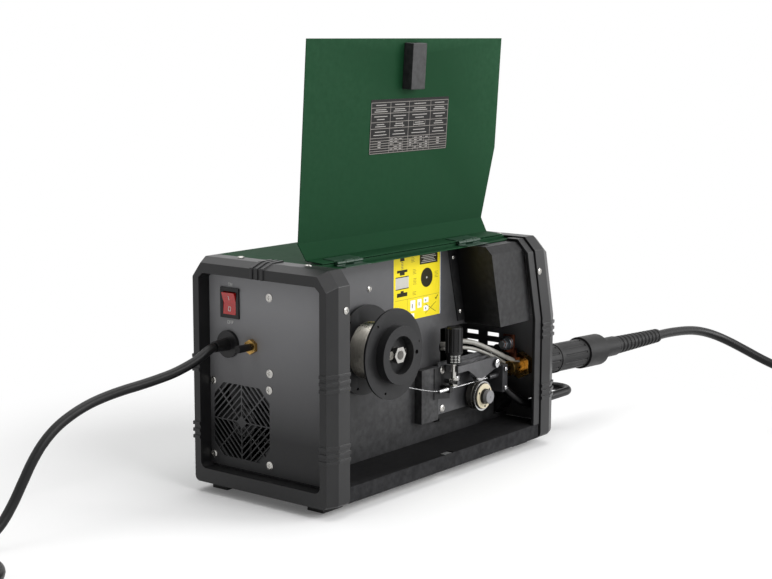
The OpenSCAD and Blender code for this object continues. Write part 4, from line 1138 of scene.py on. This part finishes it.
@dataclass
class ControlCables(Assembly):
    """Grey trigger cables from the divider wall to the torch socket, one with a red sleeve at its tip.

    Attributes:
        upper: Points of the thicker cable.
        lower: Points of the thinner cable.
        sleeve: Step from the thicker cable's tip to the end of its sleeve.
    """

    upper: list[Point] = field(default_factory=lambda: metres(
        (60.5, -37.5, 138.6), (62, -42, 138.9), (68, -44.8, 139.6), (78, -45.6, 140.3), (97, -47, 138),
        (114, -51.5, 133), (137, -57.5, 122.2), (158, -62, 112), (171, -65.5, 105.6), (178.5, -68, 102.2)))
    lower: list[Point] = field(default_factory=lambda: metres(
        (61, -37.5, 133.4), (62.5, -41.5, 133.4), (69, -44, 133.4), (80, -45, 132.8), (95, -46, 130.5),
        (112, -49, 126.5), (130, -53, 119.5), (148, -56.5, 111.5), (163, -58, 103.5)))
    sleeve: Point = (0.0055, -0.0013, -0.0024)

    def make(self) -> None:
        """Builds both cables and the red sleeve."""
        for name, points, wide in (("trigger_cable", self.upper, 0.0058),
                                   ("signal_cable", self.lower, 0.0044)):
            path = smooth_path(points, 8)
            cable = self.shop.build(name, tube(path, wide / 2, 14), Look.CABLE_GREY)
        tip = np.array(self.upper[-1])
        path = tip + np.linspace(0, 1, 6)[:, None] * np.array(self.sleeve)
        self.shop.build("cable_sleeve", tube(path, np.linspace(0.0021, 0.0013, 6)), Look.SLEEVE_RED)


# Housing --------------------------------------------------------------------------------------------


@dataclass
class Housing(Assembly):
    """Bumper frames, panels, cover, door, tray, feet and handle, with the guide and the settings table.

    Attributes:
        wall_y: Distance of the divider wall's face from the middle.
        hinge: Y and Z of the door's hinge.
        open_angle: Angle by which the door stands open, in degrees.
        door_face: Distance from the hinge's axis to the door's inner face, square to it.
        guide_at: X and Z of the guide's lower left corner.
        table_at: X and Z of the settings table's lower left corner with the door open.
        facets: Angle in degrees above which the bumpers keep an edge between their facets.
    """

    wall_y: float = 0.040
    hinge: Pair = (-0.0614, 0.2603)
    open_angle: float = 176.5
    door_face: float = 0.0374
    guide_at: Pair = (-0.034, 0.1765)
    table_at: Pair = (-0.066, 0.367)
    facets: float = 15.0

    def make(self) -> None:
        """Dresses the housing's nodes."""
        for node in ("rear_frame", "front_frame"):
            bumper = self.shop.dress(node, Look.BUMPER, 0.0004, self.facets)
            bumper.modifiers["edge"].use_clamp_overlap = False
        self.dress({
            "rear_panel": (Look.PANEL_GREY, 0.0003), "front_panel": (Look.PANEL_GREY, 0.0003),
            "control_panel": (Look.PANEL_GREY, 0.0004), "divider_wall": (Look.WALL_GREY, 0.0002),
            "control_box": (Look.BOX_BLACK, 0.0004), "outer_cover": (Look.COVER_GREEN, 0.0005),
            "wire_door": (Look.COVER_GREEN, 0.0005), "base_tray": (Look.TRAY_GREY, 0.0004),
            "rubber_feet": (Look.RUBBER, 0.001), "carry_handle": (Look.BUMPER, 0.003),
            "latch_housing": (Look.BOX_BLACK, 0.0008), "latch_slide": (Look.BOX_BLACK, 0.0005),
            "hinge_leaves": (Look.HINGE_STEEL, 0.0002), "door_leaves": (Look.HINGE_STEEL, 0.0002),
            "screws": (Look.ZINC, 0.0003)})
        x, z = self.guide_at
        self.shop.print_on("guide_label", self.guide(), (x, -self.wall_y, z), (1, 0, 0), (0, 0, 1),
                           Look.LABEL_PAPER)
        fall = math.radians(self.open_angle)
        x, z = self.table_at
        depth = (z - self.hinge[1] + self.door_face * math.sin(fall)) / math.cos(fall)
        place = (x, self.hinge[0] - self.door_face * math.cos(fall) + depth * math.sin(fall), z)
        self.shop.print_on("settings_table", self.table(), place, (1, 0, 0),
                           (0, -math.sin(fall), -math.cos(fall)), Look.LABEL_PAPER, "door")

    @staticmethod
    def guide() -> list[Patch]:
        """Draws the yellow guide: how the spool is held, a rating disc, a block of lines and small boxes.

        Returns:
            Its patches.
        """
        wide, high = 90, 76
        dark, grey, white, blue = (40, 38, 22), (186, 184, 176), (226, 228, 226), (64, 84, 120)
        yellow, olive, brown = (228, 208, 40), (120, 116, 80), (112, 104, 40)
        rule, shade = (140, 130, 50), (120, 120, 112)
        sheet = Sheet()
        sheet.box(0, 0, wide, high, yellow, 0)
        sheet.box(0, 0, 0.8, high, blue)
        sheet.box(wide - 2.2, 0, wide, high, grey)
        sheet.box(wide - 0.8, 0, wide, high, blue, 2)
        sheet.box(49, 61.5, 83, high, dark)
        for k in range(6):
            inset, low = 3 + 2 * (k * 7 % 3), 63.2 + 1.9 * k
            sheet.box(49 + inset, low, 83 - inset, low + 0.7, grey, 2)
        for y0, y1, half in ((69, 74.5, 4), (56, 59, 9.5), (53, 56, 4.5), (33, 35.2, 2.8), (28.5, 33, 9.5)):
            sheet.box(16.5 - half, y0, 16.5 + half, y1, dark)
        for k in range(5):
            sheet.box(14.5, 60 + 1.8 * k, 18.5, 60.8 + 1.8 * k, olive)
        sheet.box(4.5, 37, 28.5, 51.5, grey)
        sheet.box(4.5, 50.5, 28.5, 51.5, dark, 2)
        sheet.box(4.5, 37, 28.5, 38, dark, 2)
        sheet.add(ring_of(40, 11.2) + [62.5, 45.5], dark)
        sheet.add(ring_of(12, 1.2) + [62.5, 45.5], grey, 2)
        for x, y, rows in ((33, 66, 4), (36, 52, 4), (37, 40, 5), (36, 28, 3), (77.5, 44, 5)):
            for k in range(rows):
                sheet.box(x, y + 1.6 * k, x + 6.5 - 1.2 * (k % 2), y + 1.6 * k + 0.5, brown)
        sheet.box(4, 24.5, 86, 24.9, rule)
        sheet.box(26, 4, 26.4, 24.5, rule)
        for x, y, w, h in ((6, 8, 4, 9), (32, 10, 9, 12), (45, 12, 8, 10), (57, 16.5, 9, 6), (57, 7, 9, 6),
                           (33, 2, 6, 5)):
            sheet.box(x, y, x + w, y + h, white)
            sheet.box(x + 0.3 * w, y + 0.25 * h, x + 0.5 * w, y + 0.65 * h, shade, 2)
        for start, end, pen, layer in (((60, 4), (80, 15), 0.5, 3), ((60, 15), (80, 4), 0.5, 4),
                                       ((79, 20), (80.5, 18.5), 1, 2), ((80.5, 18.5), (83.5, 22.5), 1, 3)):
            sheet.add(stroke(start, end, pen), dark, layer)
        return sheet.patches

    @staticmethod
    def table() -> list[Patch]:
        """Draws the settings table: pale lines between dark cells, with a dash or two in each cell.

        Returns:
            Its patches.
        """
        wide, high, edge = 142, 60, 0.8
        paper, line, mark = (26, 25, 25), (128, 124, 120), (150, 147, 144)
        rows = [edge, 3.2, 6, 8.8, 11.6, 14.4, 17.6, 28, 35, 44.5, 51, 56.6]
        columns = [edge, 34.5, 68, 108, wide - edge]
        sheet = Sheet()
        sheet.box(0, 0, wide, high, paper, 0)
        for y in rows:
            sheet.box(edge, y - 0.3, wide - edge, y + 0.3, line)
        for x in columns:
            sheet.box(x - 0.3, edge, x + 0.3, rows[-1], line, 2)
        for x in (42.5, 50.5, 59, 77.5, 87, 97.5):
            sheet.box(x, edge, x + 0.4, rows[6], line, 2)
        for x in (45, 57, 77.5, 87.5, 98.5):
            sheet.box(x, 28.5, x + 0.5, 34.5, line, 2)
        for k, (low, top) in enumerate(zip(rows[6:-1], rows[7:])):
            lines = 2 if top - low > 6 else 1
            for x0, x1 in zip(columns, columns[1:]):
                for j in range(lines):
                    y = low + (top - low) * (j + 1) / (lines + 1)
                    trim = (x1 - x0) * (0.16 + 0.07 * ((k + j) % 3))
                    sheet.box(x0 + trim, y - 0.5, x1 - trim, y + 0.4, mark, 3)
        for k, low in enumerate(rows[1:6]):
            for j, x in enumerate((17, 38.5, 46.5, 54.8, 72.8, 82.3, 92.2, 102.8, 124.6)):
                if (k * 5 + j * 3) % 4:
                    sheet.box(x - 2.5, low + 0.9, x + 2.5, low + 1.8, mark, 3)
        return sheet.patches


@dataclass
class RearFittings(Assembly):
    """Switch with its marks, gas inlet and fan.

    Attributes:
        panel_x: Distance of the panel's outer face from the middle.
    """

    panel_x: float = 0.198

    def make(self) -> None:
        """Dresses the fittings of the rear panel."""
        self.dress({
            "switch_body": (Look.PLASTIC_BLACK, 0.0005), "switch_rocker": (Look.ROCKER_RED, 0.0008),
            "gas_inlet": (Look.BRASS, 0.0004), "gas_cap": (Look.RUBBER, 0.0006),
            "gas_valve": (Look.DARK_STEEL, 0.0006), "fan_frame": (Look.PLASTIC_BLACK, 0.0),
            "fan_rotor": (Look.PLASTIC_BLACK, 0.0003)})
        white = (214, 214, 212)
        words = [*word("ON", (0, 0.0201), 0.0030), *word("OFF", (0, -0.0211), 0.0030)]
        self.shop.print_on("switch_words", [Patch(line, white, k) for k, line in enumerate(words)],
                           (-self.panel_x, 0.0535, 0.2117), (0, -1, 0), (0, 0, 1), Look.MARK_WHITE)
        for name, letter, place, up in (("on_mark", "I", (-0.2010, 0.0535, 0.21725), (-0.299, 0, 0.954)),
                                        ("off_mark", "O", (-0.19954, 0.0535, 0.20534), (0.059, 0, 0.998))):
            marks = [Patch(line, white, k) for k, line in enumerate(word(letter, (0, 0), 0.0044))]
            self.shop.print_on(name, marks, place, (0, -1, 0), up, Look.MARK_WHITE, "rocker")


@dataclass
class WireSpool(Assembly):
    """Spool with its wound wire, shaft and nut.

    Attributes:
        wire: Diameter of the wire that is drawn.
        turns: Turns of its outer layer.
        steps: Points of a turn.
        start: Angle in degrees at which the layer starts.
        bore: Radius of the winding's bore.
    """

    wire: float = 0.0009
    turns: int = 34
    steps: int = 48
    start: float = -105.8
    bore: float = 0.0205

    def make(self) -> None:
        """Winds the wire and dresses the spool."""
        low, high = (np.array(c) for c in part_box("wire_winding"))
        middle, radius = (low + high) / 2, (high[2] - low[2]) / 2 - self.wire / 2
        turn = np.arange(self.turns * self.steps + 1) / self.steps
        angle = math.radians(self.start) + 2 * np.pi * turn
        wide = high[1] - low[1]
        side = high[1] - self.wire - (wide - 2 * self.wire) * turn / self.turns
        side += 0.12 * self.wire * np.sin(1.7 * turn)
        path = np.stack([middle[0] + radius * np.cos(angle), side, middle[2] + radius * np.sin(angle)], -1)
        wound = tube(path, self.wire / 2, 6, (0, 1, 0))
        under = radius - 0.0002
        profile = np.array([(0, self.bore), (0, under), (wide, under), (wide, self.bore)])
        core = lathe(profile, (middle[0], high[1], middle[2]), (0, -1, 0), 96, hollow=True)
        self.shop.build("wound_wire", wound + core, Look.WIRE_SILVER, "spool", stands_for=("wire_winding",))
        self.dress({"wire_spool": (Look.SPOOL_BLACK, 0.0006), "spool_shaft": (Look.DARK_STEEL, 0.0005),
                    "spool_nut": (Look.ZINC, 0.0005)})


@dataclass
class Feeder(Assembly):
    """Wire feeder with its rolls, pressure arm and tension knob.

    Attributes:
        drive: X and Z of the drive roll's axis.
        dots: Radius of the ring of dots on the drive roll.
        tension: X of the tension knob and its distance from the middle.
        scale_radius: Radius of the knob's scale.
        scale_z: Height of its lowest mark.
    """

    drive: Pair = (0.106, 0.073)
    dots: float = 0.0121
    tension: Pair = (0.053, 0.062)
    scale_radius: float = 0.0086 * 0.992
    scale_z: float = 0.1227

    def make(self) -> None:
        """Dresses the feeder's nodes."""
        self.dress({
            "feeder_plate": (Look.CAST_GREY, 0.0004), "feed_motor": (Look.BOX_BLACK, 0.0008),
            "drive_roll": (Look.DARK_STEEL, 0.0004), "idler_arm": (Look.CAST_GREY, 0.0004),
            "idler_roll": (Look.BRIGHT_STEEL, 0.0004), "tension_screw": (Look.ZINC, 0.0002),
            "tension_knob": (Look.PLASTIC_BLACK, 0.0004), "inlet_guide": (Look.PLASTIC_BLACK, 0.0003),
            "outlet_guide": (Look.CAST_GREY, 0.0004), "welding_wire": (Look.BRIGHT_STEEL, 0.0)})
        self.roll()
        self.hardware()

    def roll(self) -> None:
        """Adds the drive roll's bright rim, cream ring with dark dots, black hub and grey cap."""
        x, z = self.drive
        for name, y, look, profile in (
                ("roll_rim", 65.5, Look.BRIGHT_STEEL, [(0, 16), (0, 17.7), (1.2, 17.7), (1.2, 16)]),
                ("roll_ring", 68.4, Look.ROLL_CREAM, [(0, 9.2), (0, 15.1), (0.8, 14.8), (0.8, 9.2)]),
                ("roll_hub", 69.2, Look.PLASTIC_BLACK, [(0, 7.6), (0, 9.1), (3, 9), (3, 7.6)]),
                ("roll_cap", 71.8, Look.CAP_GREY, [(0, 7.6), (0, 8), (5.2, 8), (5.8, 7.4), (5.8, 0.6),
                                                   (5.3, 0.6), (5.3, 7.6)])):
            form = lathe(np.array(profile) / 1000, (x, -y / 1000, z), (0, -1, 0), 72, hollow=True)
            self.shop.build(name, form, look, "drive")
        dots = NOTHING
        for angle in np.radians((35, 155, 275)):
            place = (x + self.dots * math.cos(angle), -0.0690, z + self.dots * math.sin(angle))
            dots += slab(ring_of(20, 0.0013), place, (1, 0, 0), (0, 0, 1), 0.0004)
        self.shop.build("roll_dots", dots, Look.PLASTIC_BLACK, "drive")

    def hardware(self) -> None:
        """Adds the screw heads of the arm, the plate and the guide, and the pressure scale on the knob."""
        screws = NOTHING
        for x, y, z, r in ((128, 72.4, 109.5, 5.2), (73, 53.3, 98, 3.8), (146, 72.5, 77, 3),
                           (146, 72.5, 100, 3)):
            dome = [(0, r), (0.6, r), (1.2, 0.8 * r), (1.3, 0.45 * r), (0.6, 0.4 * r), (0.6, 0.2)]
            screws += lathe(np.array(dome) / 1000, *metres((x, -y, z)), (0, -1, 0), 32)
        self.shop.build("feeder_screws", screws, Look.BRIGHT_STEEL)
        profile = np.array([(0, 2.7), (18, 2.7), (18, 1.2), (0, 1.2)]) / 1000
        inlet = lathe(profile, (0.0228, -self.tension[1], 0.0916), (1, 0, 0), 24, hollow=True)
        self.shop.build("inlet_tube", inlet, Look.BRIGHT_STEEL)
        marks = NOTHING
        for k in range(5):
            half = 0.0011 if k % 2 else 0.0016
            for angle in np.radians(np.arange(200, 290, 30)):
                right, ahead = math.cos(angle), math.sin(angle)
                place = (self.tension[0] + self.scale_radius * right,
                         self.scale_radius * ahead - self.tension[1], self.scale_z + 0.0018 * k)
                mark = rectangle(-half, 0, half, 0.0006)
                marks += slab(mark, place, (-ahead, right, 0), (0, 0, 1), 0.00025)
        self.shop.build("knob_scale", marks, Look.MARK_WHITE, "tension_cap")


@dataclass
class FrontFittings(Assembly):
    """Torch socket, busbar, weld sockets and the two control knobs."""

    def make(self) -> None:
        """Dresses the fittings of the front."""
        self.dress({
            "torch_socket": (Look.BRASS, 0.0004), "socket_nut": (Look.BRASS, 0.0006),
            "busbar": (Look.COPPER, 0.0003), "output_sockets": (Look.PLASTIC_BLACK, 0.0006),
            "voltage_knob": (Look.PLASTIC_BLACK, 0.0006), "speed_knob": (Look.PLASTIC_BLACK, 0.0006),
            "transformer": (Look.CORE_DARK, 0.001), "heat_sink": (Look.BRIGHT_STEEL, 0.0003),
            "circuit_board": (Look.BOARD_GREEN, 0.0004)})
        face, axis = (0.157, -0.0665, 0.1297), (-1, 0, 0)
        stack = ring_profile((0, 8.6), (1.6, 8.6), (1.8, 7.6), (3.4, 7.6), (3.6, 8.4), (5, 8.2), (5.2, 6.4))
        nut = ring_profile((5.2, 7), (10.4, 7), (11.2, 6.2), (11.2, 5.1), (12.8, 5.1), (13.4, 4.4))
        form = lathe(stack, face, axis, 40) + lathe(nut, face, axis, 6)
        self.shop.build("busbar_bolt", form, Look.STEEL_GREY, bevel=0.0002)


def main() -> None:
    """Builds the studio, the cords and then each sub-assembly over the frame."""
    logging.basicConfig(level=logging.INFO, format="%(name)s: %(message)s")
    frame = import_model()
    shop = Workshop(frame)
    Studio().make()
    for part in (MainsLead, TorchLead, PolarityLead, ControlCables, Housing, RearFittings, WireSpool, Feeder,
                 FrontFittings):
        part(shop).make()
        log.info("finished %s", part.__name__)


if __name__ == "__main__":
    main()
